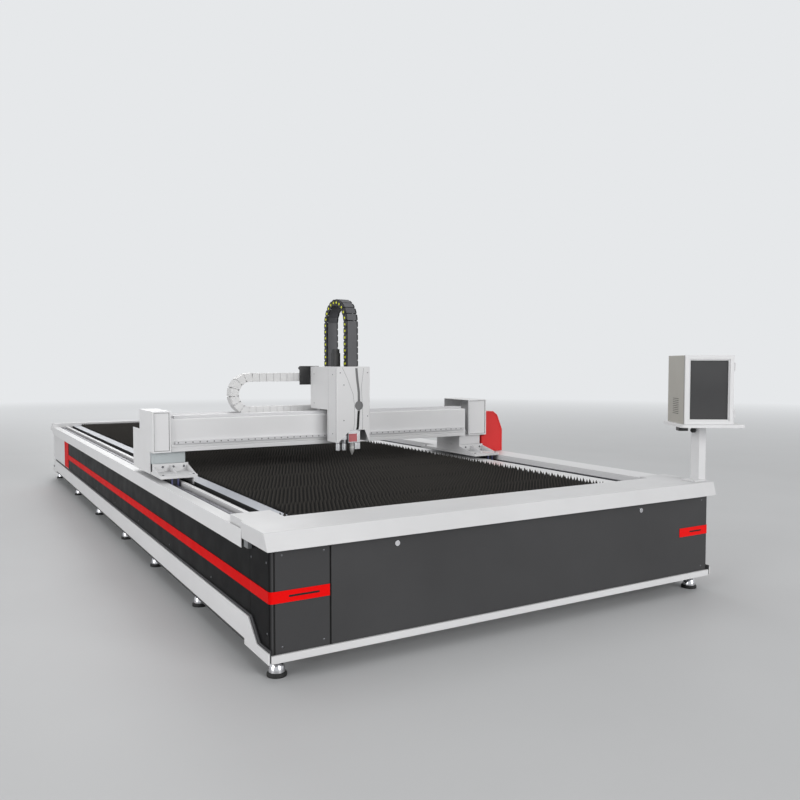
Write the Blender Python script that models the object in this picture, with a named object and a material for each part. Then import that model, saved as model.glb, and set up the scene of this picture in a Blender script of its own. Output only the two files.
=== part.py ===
"""Open-bed fiber laser cutting machine with a moving gantry.

The bed lies along Y with its front end towards -Y. The gantry rolls along Y on two guide rails,
the cutting carriage rolls along X on the gantry's beam, and the laser head rises along Z.
All lengths are metres, +Z is up, and the floor is at z = 0.
"""

import math

import bmesh
import bpy
from mathutils import Matrix, Vector

# Fits between pieces
GAP = 0.0003
RUN = 0.0010
OVERRUN = 0.010
SHEET = 0.004

# Bed
BED_LENGTH = 7.600
BED_WIDTH = 3.020
FRAME_BOTTOM = 0.140
FRAME_TOP = 0.615
GIRDER_WIDTH = 0.130
SHELF_THICKNESS = 0.055
FRAME_END = 0.070
WINDOW_PITCH = 0.600
WINDOW_LENGTH = 0.400
WINDOW_BOTTOM = 0.220
WINDOW_TOP = 0.400

# Levelling feet
FOOT_PLACE_SHARES = (0.0132, 0.1763, 0.3184, 0.4539, 0.6158, 0.7895, 0.9868)
FOOT_INSET = 0.080
PAD_RADIUS = 0.045
DOME_SHOULDER_SHARE = 0.80
PAD_THICKNESS = 0.012
DOME_HEIGHT = 0.046
STEM_RADIUS = 0.012
NUT_RADIUS = 0.020
NUT_HEIGHT = 0.014
FOOT_SIDES = 8

# Cross beams
CROSS_PLACE_SHARES = (0.0855, 0.5, 0.9145)
CROSS_WIDTH = 0.100
CROSS_HEIGHT = 0.120
CROSS_WALL = 0.008

# Skirt round the foot of the bed
SKIRT = 0.015
SKIRT_BOTTOM = 0.093
FRONT_SKIRT_TOP = 0.130
NOSE_TOP = 0.146
SIDE_SKIRT_BOTTOM = 0.122
SIDE_SKIRT_TOP = 0.245
NOSE_LENGTH = 0.155
SLOPE_LENGTH = 0.114
NOSE_STEP = 0.323
SKIRT_FLANGE = 0.060
FLANGE = 0.006

# Body panels
PANEL = 0.012
CORNER_RADIUS = 0.040
CORNER_SEAM = 0.323
SIDE_SEAM = 0.273
RIGHT_RETURN = 0.100
SEAM = 0.0015
PANEL_HEAD = 0.002
ARC_STEPS = 6

# Red bands
BAND = 0.003
BAND_BOTTOM = 0.366
BAND_TOP = 0.421
BAND_START = 2.740
TEE_START = 6.300
TEE_LENGTH = 0.300
TEE_BOTTOM = 0.262
TEE_TOP = 0.550
SLOT_START = 0.106
SLOT_LENGTH = 0.157
SLOT_HEIGHT = 0.010
RIGHT_SLOT_START = 2.830
RIGHT_SLOT_LENGTH = 0.110

# Panel locks
LOCK_PLACES = {"left": 0.685, "right": 2.394}
LOCK_HEIGHT = 0.571
LOCK_FACE_RADIUS = 0.014
LOCK_FACE = 0.004
LOCK_BARREL_RADIUS = 0.010
LOCK_TONGUE = 0.034
LOCK_TONGUE_WIDTH = 0.014
LOCK_TONGUE_THICKNESS = 0.003
LOCK_SIDES = 20

# Decks at both ends
DECK_TOP = 0.700
DECK_FLARE = 0.020
DECK_DEPTH = 0.340
LEFT_ARM_WIDTH = 0.220
LEFT_ARM_DEPTH = 0.520
RIGHT_ARM_WIDTH = 0.220
RIGHT_ARM_DEPTH = 0.400
ARM_CHAMFER = 0.080
ARM_CHAMFER_WIDTH = 0.022
LIP_END = 0.310
LIP_CHAMFER = 0.025
REAR_DECK_DEPTH = 0.120

# Rail covers, guide rails and racks
COVER_OVERHANG = 0.010
COVER_HEM = 0.568
LEFT_COVER_TOP = 0.660
RIGHT_COVER_TOP = 0.690
CHANNEL_START = 0.061
CHANNEL_WIDTH = 0.084
LIP_WIDTH = 0.027
RACK_SLOT = 0.057
STRIP_WIDTH = 0.087
STRIP_TOP = 0.660
RIGHT_COVER_WIDTH = 0.210
RECESS_WIDTH = 0.130
RIGHT_STRIP_WIDTH = 0.190
RIGHT_RAIL_INSET = 0.048
COVER_FOOT = 0.020
RAIL_TOP = 0.645
RAIL_WIDTH = 0.028
RAIL_WAIST = 0.004
RAIL_STEP_SHARES = (1 / 3, 1 / 2, 2 / 3)
RACK_WIDTH = 0.020
RACK_TOP = 0.650

# Slat table
SLAT_TOP = 0.690
SLAT_DEPTH = 0.100
SLAT_THICKNESS = 0.004
SLAT_PITCH = 0.145
SLAT_MARGIN = 0.020
TOOTH_PITCH = 0.242
TOOTH_HEIGHT = 0.034
TOOTH_TIP_SHARE = 0.50
SLAT_END_GAP = 0.003
BEARER_COUNT = 3
BEARER_WIDTH = 0.012
BEARER_HEIGHT = 0.042
BEARER_INSET = 0.060

# Gantry feet
GANTRY_FRONT = 1.960
FOOT_LENGTH = 0.840
FOOT_WIDTH = 0.245
FOOT_PLATE = 0.020
BLOCK_CROWN = 0.044
BLOCK_WIDTH = 0.050
BLOCK_LENGTH = 0.120
BLOCK_STARTS = (0.020, 0.440)
BLOCK_REACH = 0.016
FOOT_TO_COVER = 0.005
FLANGE_FRONT = 0.230
FLANGE_THICKNESS = 0.020
FLANGE_HEIGHT = 0.055
PEDESTAL_DEPTH = 0.350
PEDESTAL_INSET = 0.015
GUSSET_WIDTH = 0.008
GUSSET_REACH = 0.200
GUSSET_COUNT = 3

# Gantry beam
BEAM_LEFT = 0.130
BEAM_RIGHT = 2.620
BEAM_SETBACK = 0.210
BEAM_DEPTH = 0.285
BEAM_BOTTOM = 0.845
BEAM_TOP = 1.075
BEAM_BAND_LOW = 0.026
BEAM_BAND_HIGH = 0.052
BEAM_GROOVE = 0.005
BEAM_EDGE = 0.006
BEAM_RAIL_HEIGHT = 0.909
BEAM_RAIL_WIDTH = 0.022
BEAM_RAIL_DEPTH = 0.020
BEAM_RAIL_END = 0.025
TOP_RAIL_INSET = 0.030
BEAM_RACK_INSET = 0.110
BEAM_RACK_WIDTH = 0.024
BEAM_RACK_HEIGHT = 0.018

# Drives
MOTOR_SIZE = 0.080
MOTOR_HEIGHT = 0.210
MOTOR_FLANGE = 0.012
MOTOR_BODY_SHARE = 0.86
MOTOR_CENTRE = 0.690
PINION_RADIUS = 0.0165
PINION_ROOT_SHARE = 0.80
PINION_TEETH = 12
PINION_HEIGHT = 0.022
SHAFT_RADIUS = 0.007
TOOTH_FLANK_SHARE = 0.30

# End covers and guard
END_COVER_SHEET = 0.006
END_COVER_RIGHT = 0.125
END_COVER_SETBACK = 0.195
END_COVER_DEPTH = 0.397
END_COVER_TOP = 1.130
SIDE_PLATE_SETBACK = 0.285
SIDE_PLATE_LENGTH = 0.529
SIDE_PLATE_BOTTOM = 0.692
SIDE_PLATE_STEP = 0.985
FACE_RIM = 0.010
FACE_RECESS = 0.006
RIGHT_COVER_START = 2.655
RIGHT_COVER_END = 2.840
RIGHT_END_SETBACK = 0.212
RIGHT_END_DEPTH = 0.378
RIGHT_END_TOP = 1.150
GUARD_OUT = 3.036
GUARD_BOTTOM = 0.6925
GUARD_TOP = 1.042
GUARD_SHOULDER = 0.834
GUARD_WAIST = 0.881
GUARD_CROWN = 2.939
GUARD_FACET = 2.983
GUARD_FACET_TOP = 1.010
GUARD_SETBACK = 0.240
GUARD_DEPTH = 0.330
GUARD_SHEET = 0.005

# White cable chain along the beam
CHAIN_WIDTH = 0.100
CHAIN_THICKNESS = 0.067
CHAIN_LINK = 0.056
CHAIN_NICK = 0.004
CHAIN_NICK_SHARE = 0.12
CHAIN_RADIUS = 0.129
CHAIN_BEND = 0.8175
CHAIN_FIXED = 1.3675
CHAIN_MOVING_INSET = 0.033
TRAY_START = 0.150
TRAY_END = 1.500
TRAY_WIDTH = 0.120
TRAY_WALL = 0.030
TRAY_SHEET = 0.003
TRAY_FLOOR = 1.058
TRAY_LEAD = 0.004

# Cutting carriage
HEAD_LEFT = 1.307
HEAD_WIDTH = 0.278
HEAD_LEAD = 0.203
HEAD_TOP = 1.436
HEAD_BOTTOM = 0.865
CHEEK_LEAD = 0.030
HEAD_SHELF = 1.106
HEAD_DEPTH = 0.480
HEAD_WALL = 0.003
NOTCH_TOP = 0.957
NOTCH_LEFT = 0.010
NOTCH_LEFT_TOP = 0.110
NOTCH_RIGHT_TOP = 0.046
NOTCH_RIGHT = 0.006
SLIT_INSET = 0.183
SLIT_WIDTH = 0.022
EYE_RADIUS = 0.030
EYE_HEIGHT = 1.142
EYE_SIDES = 24
SADDLE_INSET = 0.030
SADDLE_LEAD = 0.065
SADDLE_PLATE = 0.018
SADDLE_BOTTOM = 0.884
SADDLE_BLOCK = 0.014
SADDLE_REACH = 0.013
SADDLE_DEPTH = 0.235
BLOCK_PLATE = 0.024
BLOCK_PLATE_INSET = 0.055
BLOCK_PLATE_TOP = 1.400
BLOCK_PLATE_BOTTOM = 0.900
MOTOR_SHELF = 0.020
MOTOR_SHELF_DEPTH = 0.120
ZMOTOR_SIZE = 0.086
ZMOTOR_TOP = 1.570
ZMOTOR_INSET = 0.075
ZMOTOR_SETBACK = 0.045
HATCH_MARGIN = 0.006
BRACKET_REACH = 0.090
BRACKET_LENGTH = 0.163
BRACKET_BOTTOM = 1.292
BRACKET_TOP = 1.440
BRACKET_BLOCK = 0.020
BRACKET_LUG_RADIUS = 0.016
BRACKET_LUG_PITCH = 0.0384
BRACKET_LUG_SIDES = 10
BRACKET_LUG_LENGTH = 0.026
BRACKET_LUGS = 3

# Vertical slide and laser head
ZSLIDE_INSET = 0.075
ZSLIDE_THICKNESS = 0.020
ZSLIDE_BOTTOM = 0.935
ZSLIDE_TOP = 1.235
LASER_INSET = 0.173
LASER_WIDTH = 0.090
LASER_DEPTH = 0.062
LASER_BOTTOM = 0.856
LASER_TOP = 1.050
COLLIMATOR_RADIUS = 0.026
COLLIMATOR_TOP = 1.200
GAS_RADIUS = 0.018
GAS_BOTTOM = 0.800
GAS_TOP = 0.915
GAS_PITCH = 0.050
GAS_OFFSET = 0.128
GAS_YOKE_BOTTOM = 0.880
GAS_YOKE_DEPTH = 0.024
FOOT_BLOCK_BOTTOM = 0.806
FOOT_BLOCK_WIDTH = 0.040
NOZZLE_TOP_RADIUS = 0.019
NOZZLE_COLLAR = 0.014
NOZZLE_TIP_RADIUS = 0.004
NOZZLE_TIP = 0.765
NOZZLE_CONE = 0.022
NOZZLE_OFFSET = 0.018
NOZZLE_SIDES = 24
ZCHAIN_INSET = 0.097
ZCHAIN_WIDTH = 0.080
ZCHAIN_THICKNESS = 0.050
ZCHAIN_LINK = 0.050
ZCHAIN_SETBACK = 0.063
ZCHAIN_SPAN = 0.340
ZCHAIN_TOP = 1.960
ZCHAIN_NICK = 0.004

# Console
POST_X = 3.005
POST_Y = 0.095
POST_SIZE = 0.064
POST_TOP = 1.055
POST_FLANGE = 0.110
POST_FLANGE_THICKNESS = 0.008
SPIGOT_RADIUS = 0.018
SPIGOT_HEIGHT = 0.014
SPIGOT_SIDES = 24
KNOB_RADIUS = 0.016
KNOB_LENGTH = 0.022
KNOB_STEM = 0.006
KNOB_STEM_LENGTH = 0.012
KNOB_DROP = 0.027
KNOB_SIDES = 16
KNOB_FACE_SHARE = 0.80
KNOB_RIM_SHARE = 0.70
CONSOLE_YAW = -33.0
TRAY_SIZE = 0.400
TRAY_PLATE = 0.020
TRAY_SHIFT = 0.027
TRAY_CORNER = 0.030
CASE_WIDTH = 0.300
CASE_DEPTH = 0.340
CASE_HEIGHT = 0.435
CASE_WALL = 0.005
DOOR_DEPTH = 0.020
DOOR_FRAME = 0.024
GLASS = 0.005
GLASS_REST = 0.006
SCREEN_WIDTH = 0.230
SCREEN_HEIGHT = 0.190
SCREEN_DEPTH = 0.040
SCREEN_LIFT = 0.190
SCREEN_SETBACK = 0.050
SCREEN_ARM = 0.060
HINGE_RADIUS = 0.006
HINGE_LENGTH = 0.050
HINGE_INSET_SHARE = 0.16
HINGE_SIDES = 12

# Places worked out from the sizes above
PANEL_OUT = SKIRT + GAP
PANEL_IN = PANEL_OUT + PANEL
FRAME_OUT = PANEL_IN + GAP
FRAME_IN = FRAME_OUT + GIRDER_WIDTH
CHANNEL_END = CHANNEL_START + CHANNEL_WIDTH
LIP_SIDE = CHANNEL_END + LIP_WIDTH
STRIP_START = LIP_SIDE + RACK_SLOT
TABLE_LEFT = STRIP_START + STRIP_WIDTH
RIGHT_COVER_X = BED_WIDTH + COVER_OVERHANG - RIGHT_COVER_WIDTH
RECESS_X = RIGHT_COVER_X - RECESS_WIDTH
TABLE_RIGHT = RECESS_X - RIGHT_STRIP_WIDTH
PANEL_TOP = FRAME_TOP - PANEL_HEAD
DECK_BOTTOM = FRAME_TOP + GAP
TROUGH_FLOOR = FRAME_TOP + GAP + SHEET
LEFT_RAIL_X = (CHANNEL_START + CHANNEL_END) / 2
RIGHT_RAIL_X = RECESS_X + RIGHT_RAIL_INSET
LEFT_RACK_X = LIP_SIDE + RUN
RIGHT_RACK_X = RIGHT_COVER_X - RUN - RACK_WIDTH
LEFT_PINION_X = LEFT_RACK_X + RACK_WIDTH + RUN + PINION_RADIUS
RIGHT_PINION_X = RIGHT_RACK_X - RUN - PINION_RADIUS
REAR_DECK_FRONT = BED_LENGTH - REAR_DECK_DEPTH
PLATE_BOTTOM = RAIL_TOP + GAP + BLOCK_CROWN
PLATE_TOP = PLATE_BOTTOM + FOOT_PLATE
LEFT_FOOT_X = END_COVER_SHEET + GAP
RIGHT_FOOT_X = RIGHT_COVER_X - FOOT_TO_COVER - FOOT_WIDTH
PEDESTAL_FRONT = GANTRY_FRONT + FLANGE_FRONT + FLANGE_THICKNESS
PEDESTAL_TOP = BEAM_BOTTOM - GAP
DRIVE_Y = GANTRY_FRONT + MOTOR_CENTRE
BEAM_FRONT = GANTRY_FRONT + BEAM_SETBACK
BEAM_BACK = BEAM_FRONT + BEAM_DEPTH
END_COVER_FRONT = GANTRY_FRONT + END_COVER_SETBACK
SIDE_PLATE_FRONT = GANTRY_FRONT + SIDE_PLATE_SETBACK
RIGHT_END_FRONT = GANTRY_FRONT + RIGHT_END_SETBACK
GUARD_FRONT = GANTRY_FRONT + GUARD_SETBACK
TRAY_FRONT = BEAM_BACK + GAP
CHAIN_FRONT = TRAY_FRONT + TRAY_SHEET + TRAY_LEAD
CHAIN_LOW = TRAY_FLOOR + TRAY_SHEET + GAP
CHAIN_AXIS = CHAIN_LOW + CHAIN_THICKNESS / 2 + CHAIN_RADIUS
CHAIN_MOVING = HEAD_LEFT + CHAIN_MOVING_INSET
HEAD_RIGHT = HEAD_LEFT + HEAD_WIDTH
HEAD_FRONT = BEAM_FRONT - HEAD_LEAD
HEAD_CHEEK = BEAM_FRONT - CHEEK_LEAD
HEAD_BACK = HEAD_FRONT + HEAD_DEPTH
SLIT_CENTRE = HEAD_LEFT + SLIT_INSET
SADDLE_FRONT = BEAM_FRONT - SADDLE_LEAD
ZMOTOR_X = HEAD_LEFT + ZMOTOR_INSET
ZMOTOR_Y = SADDLE_FRONT + ZMOTOR_SETBACK
BRACKET_START = HEAD_LEFT - BRACKET_REACH
BRACKET_END = BRACKET_START + BRACKET_LENGTH
ZCHAIN_LEFT = HEAD_LEFT + ZCHAIN_INSET
ZCHAIN_FRONT = HEAD_FRONT + ZCHAIN_SETBACK
ZCHAIN_BACK = ZCHAIN_FRONT + ZCHAIN_SPAN
BLOCK_PLATE_FRONT = SADDLE_FRONT - GAP - BLOCK_PLATE
ZSLIDE_FRONT = BLOCK_PLATE_FRONT - GAP - ZSLIDE_THICKNESS
LASER_BACK = ZSLIDE_FRONT - GAP
LASER_X = HEAD_LEFT + LASER_INSET
LASER_Y = LASER_BACK - LASER_DEPTH / 2
GAS_FIRST = LASER_X - GAS_OFFSET
NOZZLE_X = LASER_X - NOZZLE_OFFSET


def clear_scene():
    """Remove what the file opens with."""
    for old in list(bpy.data.objects):
        bpy.data.objects.remove(old, do_unlink=True)


def finish(name, colour, roughness, metallic):
    """Make one plain material."""
    material = bpy.data.materials.new(name)
    material.use_nodes = True
    shader = material.node_tree.nodes["Principled BSDF"]
    shader.inputs["Base Color"].default_value = (*colour, 1.0)
    shader.inputs["Roughness"].default_value = roughness
    shader.inputs["Metallic"].default_value = metallic
    material.diffuse_color = (*colour, 1.0)
    return material


def finish_table():
    """Give each finish of the machine by its name."""
    looks = {
        "white_enamel": ((0.72, 0.72, 0.73), 0.35, 0.0),
        "anthracite_enamel": ((0.045, 0.045, 0.048), 0.45, 0.0),
        "red_enamel": ((0.75, 0.01, 0.008), 0.35, 0.0),
        "grey_primer": ((0.45, 0.48, 0.50), 0.5, 0.0),
        "ground_steel": ((0.55, 0.55, 0.56), 0.3, 1.0),
        "scorched_steel": ((0.02, 0.018, 0.016), 0.7, 0.6),
        "black_nylon": ((0.03, 0.03, 0.03), 0.6, 0.0),
        "white_nylon": ((0.66, 0.66, 0.67), 0.5, 0.0),
        "black_motor": ((0.015, 0.015, 0.016), 0.45, 0.0),
        "brass": ((0.60, 0.40, 0.18), 0.3, 1.0),
        "dark_glass": ((0.07, 0.07, 0.075), 0.1, 0.0),
        "beige_enamel": ((0.42, 0.41, 0.38), 0.45, 0.0),
        "frame_paint": ((0.30, 0.31, 0.32), 0.55, 0.0),
    }
    return {name: finish(name, *look) for name, look in looks.items()}


def make_object(name, bm, material):
    """Close a bmesh into an object whose faces point out."""
    bmesh.ops.recalc_face_normals(bm, faces=bm.faces)
    mesh = bpy.data.meshes.new(name)
    bm.to_mesh(mesh)
    bm.free()
    mesh.materials.append(material)
    piece = bpy.data.objects.new(name, mesh)
    bpy.context.collection.objects.link(piece)
    return piece


def corner(axis, a, b, along):
    """Put an outline point on a plane square to an axis."""
    if axis == "X":
        return Vector((along, a, b))
    if axis == "Y":
        return Vector((a, along, b))
    return Vector((a, b, along))


def prism(name, axis, outline, low, high, material):
    """Extrude a closed outline from low to high along an axis."""
    bm = bmesh.new()
    base = bm.faces.new([bm.verts.new(corner(axis, a, b, low)) for a, b in outline])
    raised = bmesh.ops.extrude_face_region(bm, geom=[base])["geom"]
    shift = corner(axis, 0, 0, high - low)
    bmesh.ops.translate(bm, vec=shift, verts=[v for v in raised if isinstance(v, bmesh.types.BMVert)])
    return make_object(name, bm, material)


def loft(name, lower, upper, low, high, material):
    """Join two outlines of as many points at two heights."""
    bm = bmesh.new()
    foot = [bm.verts.new((x, y, low)) for x, y in lower]
    head = [bm.verts.new((x, y, high)) for x, y in upper]
    bm.faces.new(foot)
    bm.faces.new(head)
    for index in range(len(foot)):
        after = (index + 1) % len(foot)
        bm.faces.new((foot[index], foot[after], head[after], head[index]))
    return make_object(name, bm, material)


def box(name, xs, ys, zs, material):
    """Make a block between two corners."""
    bm = bmesh.new()
    bmesh.ops.create_cube(bm, size=1.0)
    middle = Vector([(low + high) / 2 for low, high in (xs, ys, zs)])
    spans = [high - low for low, high in (xs, ys, zs)]
    bmesh.ops.scale(bm, vec=spans, verts=bm.verts)
    bmesh.ops.translate(bm, vec=middle, verts=bm.verts)
    return make_object(name, bm, material)


def turned(name, profile, sides, axis, centre, material):
    """Turn a profile of radius and height about an axis through a centre."""
    bm = bmesh.new()
    points = [bm.verts.new((radius, 0, height)) for radius, height in profile]
    edges = [bm.edges.new(pair) for pair in zip(points, points[1:])]
    bmesh.ops.spin(bm, geom=points + edges, cent=(0, 0, 0), axis=(0, 0, 1), dvec=(0, 0, 0),
                   angle=math.tau, steps=sides, use_merge=True, use_duplicate=False)
    bmesh.ops.remove_doubles(bm, verts=bm.verts, dist=GAP / 10)
    turns = {"X": Matrix.Rotation(math.pi / 2, 3, "Y"), "Y": Matrix.Rotation(-math.pi / 2, 3, "X"),
             "Z": Matrix.Identity(3)}
    bmesh.ops.transform(bm, matrix=turns[axis].to_4x4(), verts=bm.verts)
    bmesh.ops.translate(bm, vec=Vector(centre), verts=bm.verts)
    piece = make_object(name, bm, material)
    piece.data.shade_smooth()
    piece.data.set_sharp_from_angle(angle=math.radians(35))
    return piece


def rod(name, radius, low, high, sides, axis, centre, material):
    """Make a plain round bar from low to high along an axis."""
    profile = [(0, low), (radius, low), (radius, high), (0, high)]
    return turned(name, profile, sides, axis, centre, material)


def rounded(x0, x1, y0, y1, radius, steps=ARC_STEPS):
    """Outline a rectangle with round corners."""
    points = []
    for quarter, (x, y) in enumerate(((x1, y1), (x0, y1), (x0, y0), (x1, y0))):
        centre_x = x - radius if x == x1 else x + radius
        centre_y = y - radius if y == y1 else y + radius
        for step in range(steps + 1):
            angle = math.pi / 2 * (quarter + step / steps)
            points.append((centre_x + radius * math.cos(angle), centre_y + radius * math.sin(angle)))
    return points


def combine(piece, others, operation):
    """Join or cut a piece with others by exact Booleans, which are then applied."""
    for other in others:
        tool = piece.modifiers.new(operation.lower(), "BOOLEAN")
        tool.operation = operation
        tool.solver = "EXACT"
        tool.object = other
    graph = bpy.context.evaluated_depsgraph_get()
    solid = bpy.data.meshes.new_from_object(piece.evaluated_get(graph), depsgraph=graph)
    piece.modifiers.clear()
    piece.data = solid
    for other in others:
        bpy.data.objects.remove(other, do_unlink=True)
    return piece


def fuse(piece, *others):
    """Weld pieces that overlap into one body."""
    return combine(piece, others, "UNION")


def cut(piece, *others):
    """Take cutters out of a piece."""
    return combine(piece, others, "DIFFERENCE")


def pivot(name, place, parent, yaw=0.0):
    """Put an empty on a joint's axis."""
    empty = bpy.data.objects.new(name, None)
    bpy.context.collection.objects.link(empty)
    empty.parent = parent
    empty.rotation_euler = (0, 0, yaw)
    offset = parent["place"] if parent else (0, 0, 0)
    empty.location = Vector(place) - Vector(offset)
    empty["place"] = tuple(place)
    return empty


def attach(pieces, carrier):
    """Hang pieces modelled in the machine's frame on a pivot."""
    for piece in pieces:
        piece.data.transform(Matrix.Translation(-Vector(carrier["place"])))
        piece.parent = carrier


def mirror_x(x):
    """Give the place across the bed that matches a place on the left."""
    return BED_WIDTH - x


def foot_body(name, x, y, material):
    """Turn one levelling foot with its pad, dome, lock nut and stem."""
    nut = FRAME_BOTTOM - NUT_HEIGHT
    neck = PAD_THICKNESS + (DOME_HEIGHT - PAD_THICKNESS) / 2
    profile = [(0, 0), (PAD_RADIUS, 0), (PAD_RADIUS, PAD_THICKNESS), (PAD_RADIUS * DOME_SHOULDER_SHARE, neck),
               (STEM_RADIUS, DOME_HEIGHT), (STEM_RADIUS, nut), (NUT_RADIUS, nut),
               (NUT_RADIUS, FRAME_BOTTOM + OVERRUN), (0, FRAME_BOTTOM + OVERRUN)]
    return turned(name, profile, FOOT_SIDES, "Z", (x, y, 0), material)


def side_frame(name, outline, web, foot_x, material):
    """Weld one side girder with its windows and levelling feet."""
    girder = prism(name, "Y", outline, FRAME_END, BED_LENGTH - FRAME_END, material)
    count = int((BED_LENGTH - 2 * FRAME_END) / WINDOW_PITCH)
    first = (BED_LENGTH - count * WINDOW_PITCH + WINDOW_PITCH - WINDOW_LENGTH) / 2
    windows = []
    for index in range(count):
        start = first + index * WINDOW_PITCH
        windows.append(box("window", (web[0] - OVERRUN, web[1] + OVERRUN),
                           (start, start + WINDOW_LENGTH), (WINDOW_BOTTOM, WINDOW_TOP), material))
    across = [x for x, _ in outline]
    under_decks = [(FRAME_END - OVERRUN, DECK_DEPTH + ARM_CHAMFER + RUN),
                   (REAR_DECK_FRONT - RUN, BED_LENGTH - FRAME_END + OVERRUN)]
    for ys in under_decks:
        windows.append(box("seat", (min(across) - OVERRUN, max(across) + OVERRUN), ys,
                           (FRAME_TOP, STRIP_TOP + OVERRUN), material))
    cut(girder, *windows)
    foot_places = [BED_LENGTH * share for share in FOOT_PLACE_SHARES]
    feet = [foot_body("foot", foot_x, y, material) for y in foot_places]
    return fuse(girder, *feet)


def bed_frame(looks):
    """Build both side girders and the cross beams between them."""
    shelf = FRAME_TOP - SHELF_THICKNESS
    left = [(FRAME_OUT, FRAME_BOTTOM), (FRAME_IN, FRAME_BOTTOM), (FRAME_IN, shelf), (TABLE_LEFT, shelf),
            (TABLE_LEFT, STRIP_TOP), (STRIP_START, STRIP_TOP), (STRIP_START, FRAME_TOP),
            (FRAME_OUT, FRAME_TOP)]
    right_out = mirror_x(FRAME_OUT)
    right_in = mirror_x(FRAME_IN)
    right = [(right_out, FRAME_BOTTOM), (right_in, FRAME_BOTTOM), (right_in, shelf), (TABLE_RIGHT, shelf),
             (TABLE_RIGHT, STRIP_TOP), (RECESS_X, STRIP_TOP), (RECESS_X, FRAME_TOP), (right_out, FRAME_TOP)]
    paint = looks["frame_paint"]
    pieces = [side_frame("side_frame_left", left, (FRAME_OUT, FRAME_IN), FOOT_INSET, paint),
              side_frame("side_frame_right", right, (right_in, right_out), mirror_x(FOOT_INSET), paint)]
    top = shelf - GAP
    for number, share in enumerate(CROSS_PLACE_SHARES, start=1):
        low = BED_LENGTH * share - CROSS_WIDTH / 2
        high = low + CROSS_WIDTH
        tube = box(f"cross_beam_{number}", (FRAME_IN + GAP, right_in - GAP), (low, high),
                   (top - CROSS_HEIGHT, top), paint)
        bore = box("bore", (FRAME_IN - OVERRUN, right_in + OVERRUN), (low + CROSS_WALL, high - CROSS_WALL),
                   (top - CROSS_HEIGHT + CROSS_WALL, top - CROSS_WALL), paint)
        pieces.append(cut(tube, bore))
    return pieces


def skirts(looks):
    """Build the four skirts round the foot of the bed."""
    white = looks["white_enamel"]
    rear_nose = BED_LENGTH - NOSE_LENGTH
    side = [(0, SKIRT_BOTTOM), (NOSE_STEP, SKIRT_BOTTOM), (NOSE_STEP, SIDE_SKIRT_BOTTOM),
            (BED_LENGTH - NOSE_STEP, SIDE_SKIRT_BOTTOM), (BED_LENGTH - NOSE_STEP, SKIRT_BOTTOM),
            (BED_LENGTH, SKIRT_BOTTOM), (BED_LENGTH, NOSE_TOP), (rear_nose, NOSE_TOP),
            (rear_nose - SLOPE_LENGTH, SIDE_SKIRT_TOP), (NOSE_LENGTH + SLOPE_LENGTH, SIDE_SKIRT_TOP),
            (NOSE_LENGTH, NOSE_TOP), (0, NOSE_TOP)]
    pieces = [prism("skirt_left", "X", side, 0, SKIRT, white),
              prism("skirt_right", "X", side, BED_WIDTH - SKIRT, BED_WIDTH, white)]
    front = [(0, SKIRT_BOTTOM), (SKIRT_FLANGE, SKIRT_BOTTOM), (SKIRT_FLANGE, SKIRT_BOTTOM + FLANGE),
             (SKIRT, SKIRT_BOTTOM + FLANGE), (SKIRT, FRONT_SKIRT_TOP), (0, FRONT_SKIRT_TOP)]
    rear = [(BED_LENGTH - y, z) for y, z in front]
    ends = (SKIRT + GAP, BED_WIDTH - SKIRT - GAP)
    pieces.append(prism("skirt_front", "X", front, *ends, white))
    pieces.append(prism("skirt_rear", "X", rear, *ends, white))
    return pieces


def corner_sheet(face, side, end_x, end_y, thickness, mirrored):
    """Outline a sheet that turns a round front corner, seen from above."""
    outer = CORNER_RADIUS + max(0, PANEL_OUT - face)
    inner = outer - thickness
    centre_x = side + outer
    centre_y = face + outer
    arc = [math.pi + math.pi / 2 * step / ARC_STEPS for step in range(ARC_STEPS + 1)]
    points = [(side, end_y)]
    points += [(centre_x + outer * math.cos(a), centre_y + outer * math.sin(a)) for a in arc]
    points += [(end_x, face), (end_x, face + thickness)]
    points += [(centre_x + inner * math.cos(a), centre_y + inner * math.sin(a)) for a in reversed(arc)]
    points.append((side + thickness, end_y))
    if mirrored:
        return [(mirror_x(x), y) for x, y in points]
    return points


def body_panels(looks):
    """Build the dark panels that close the bed on its four sides."""
    dark = looks["anthracite_enamel"]
    low = SKIRT_BOTTOM + FLANGE + GAP
    rear = BED_LENGTH - PANEL_OUT
    left_plan = corner_sheet(PANEL_OUT, PANEL_OUT, CORNER_SEAM, SIDE_SEAM, PANEL, False)
    corner_panel = prism("corner_panel", "Z", left_plan, low, PANEL_TOP, dark)
    right_plan = corner_sheet(PANEL_OUT, PANEL_OUT, mirror_x(CORNER_SEAM + SEAM), RIGHT_RETURN, PANEL, True)
    front_panel = prism("front_panel", "Z", right_plan, low, PANEL_TOP, dark)
    holes = [rod("hole", LOCK_BARREL_RADIUS + RUN, PANEL_OUT - OVERRUN, PANEL_IN + OVERRUN, LOCK_SIDES, "Y",
                 (x, 0, LOCK_HEIGHT), dark) for x in LOCK_PLACES.values()]
    cut(front_panel, *holes)
    sides = [("side_panel_left", (PANEL_OUT, PANEL_IN), SIDE_SEAM),
             ("side_panel_right", (mirror_x(PANEL_IN), mirror_x(PANEL_OUT)), RIGHT_RETURN)]
    pieces = [corner_panel, front_panel]
    for name, xs, seam in sides:
        pieces.append(box(name, xs, (seam + SEAM, rear), (low, PANEL_TOP), dark))
    pieces.append(box("rear_panel", (PANEL_IN + GAP, mirror_x(PANEL_IN + GAP)), (rear - PANEL, rear),
                      (low, PANEL_TOP), dark))
    return pieces


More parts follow.
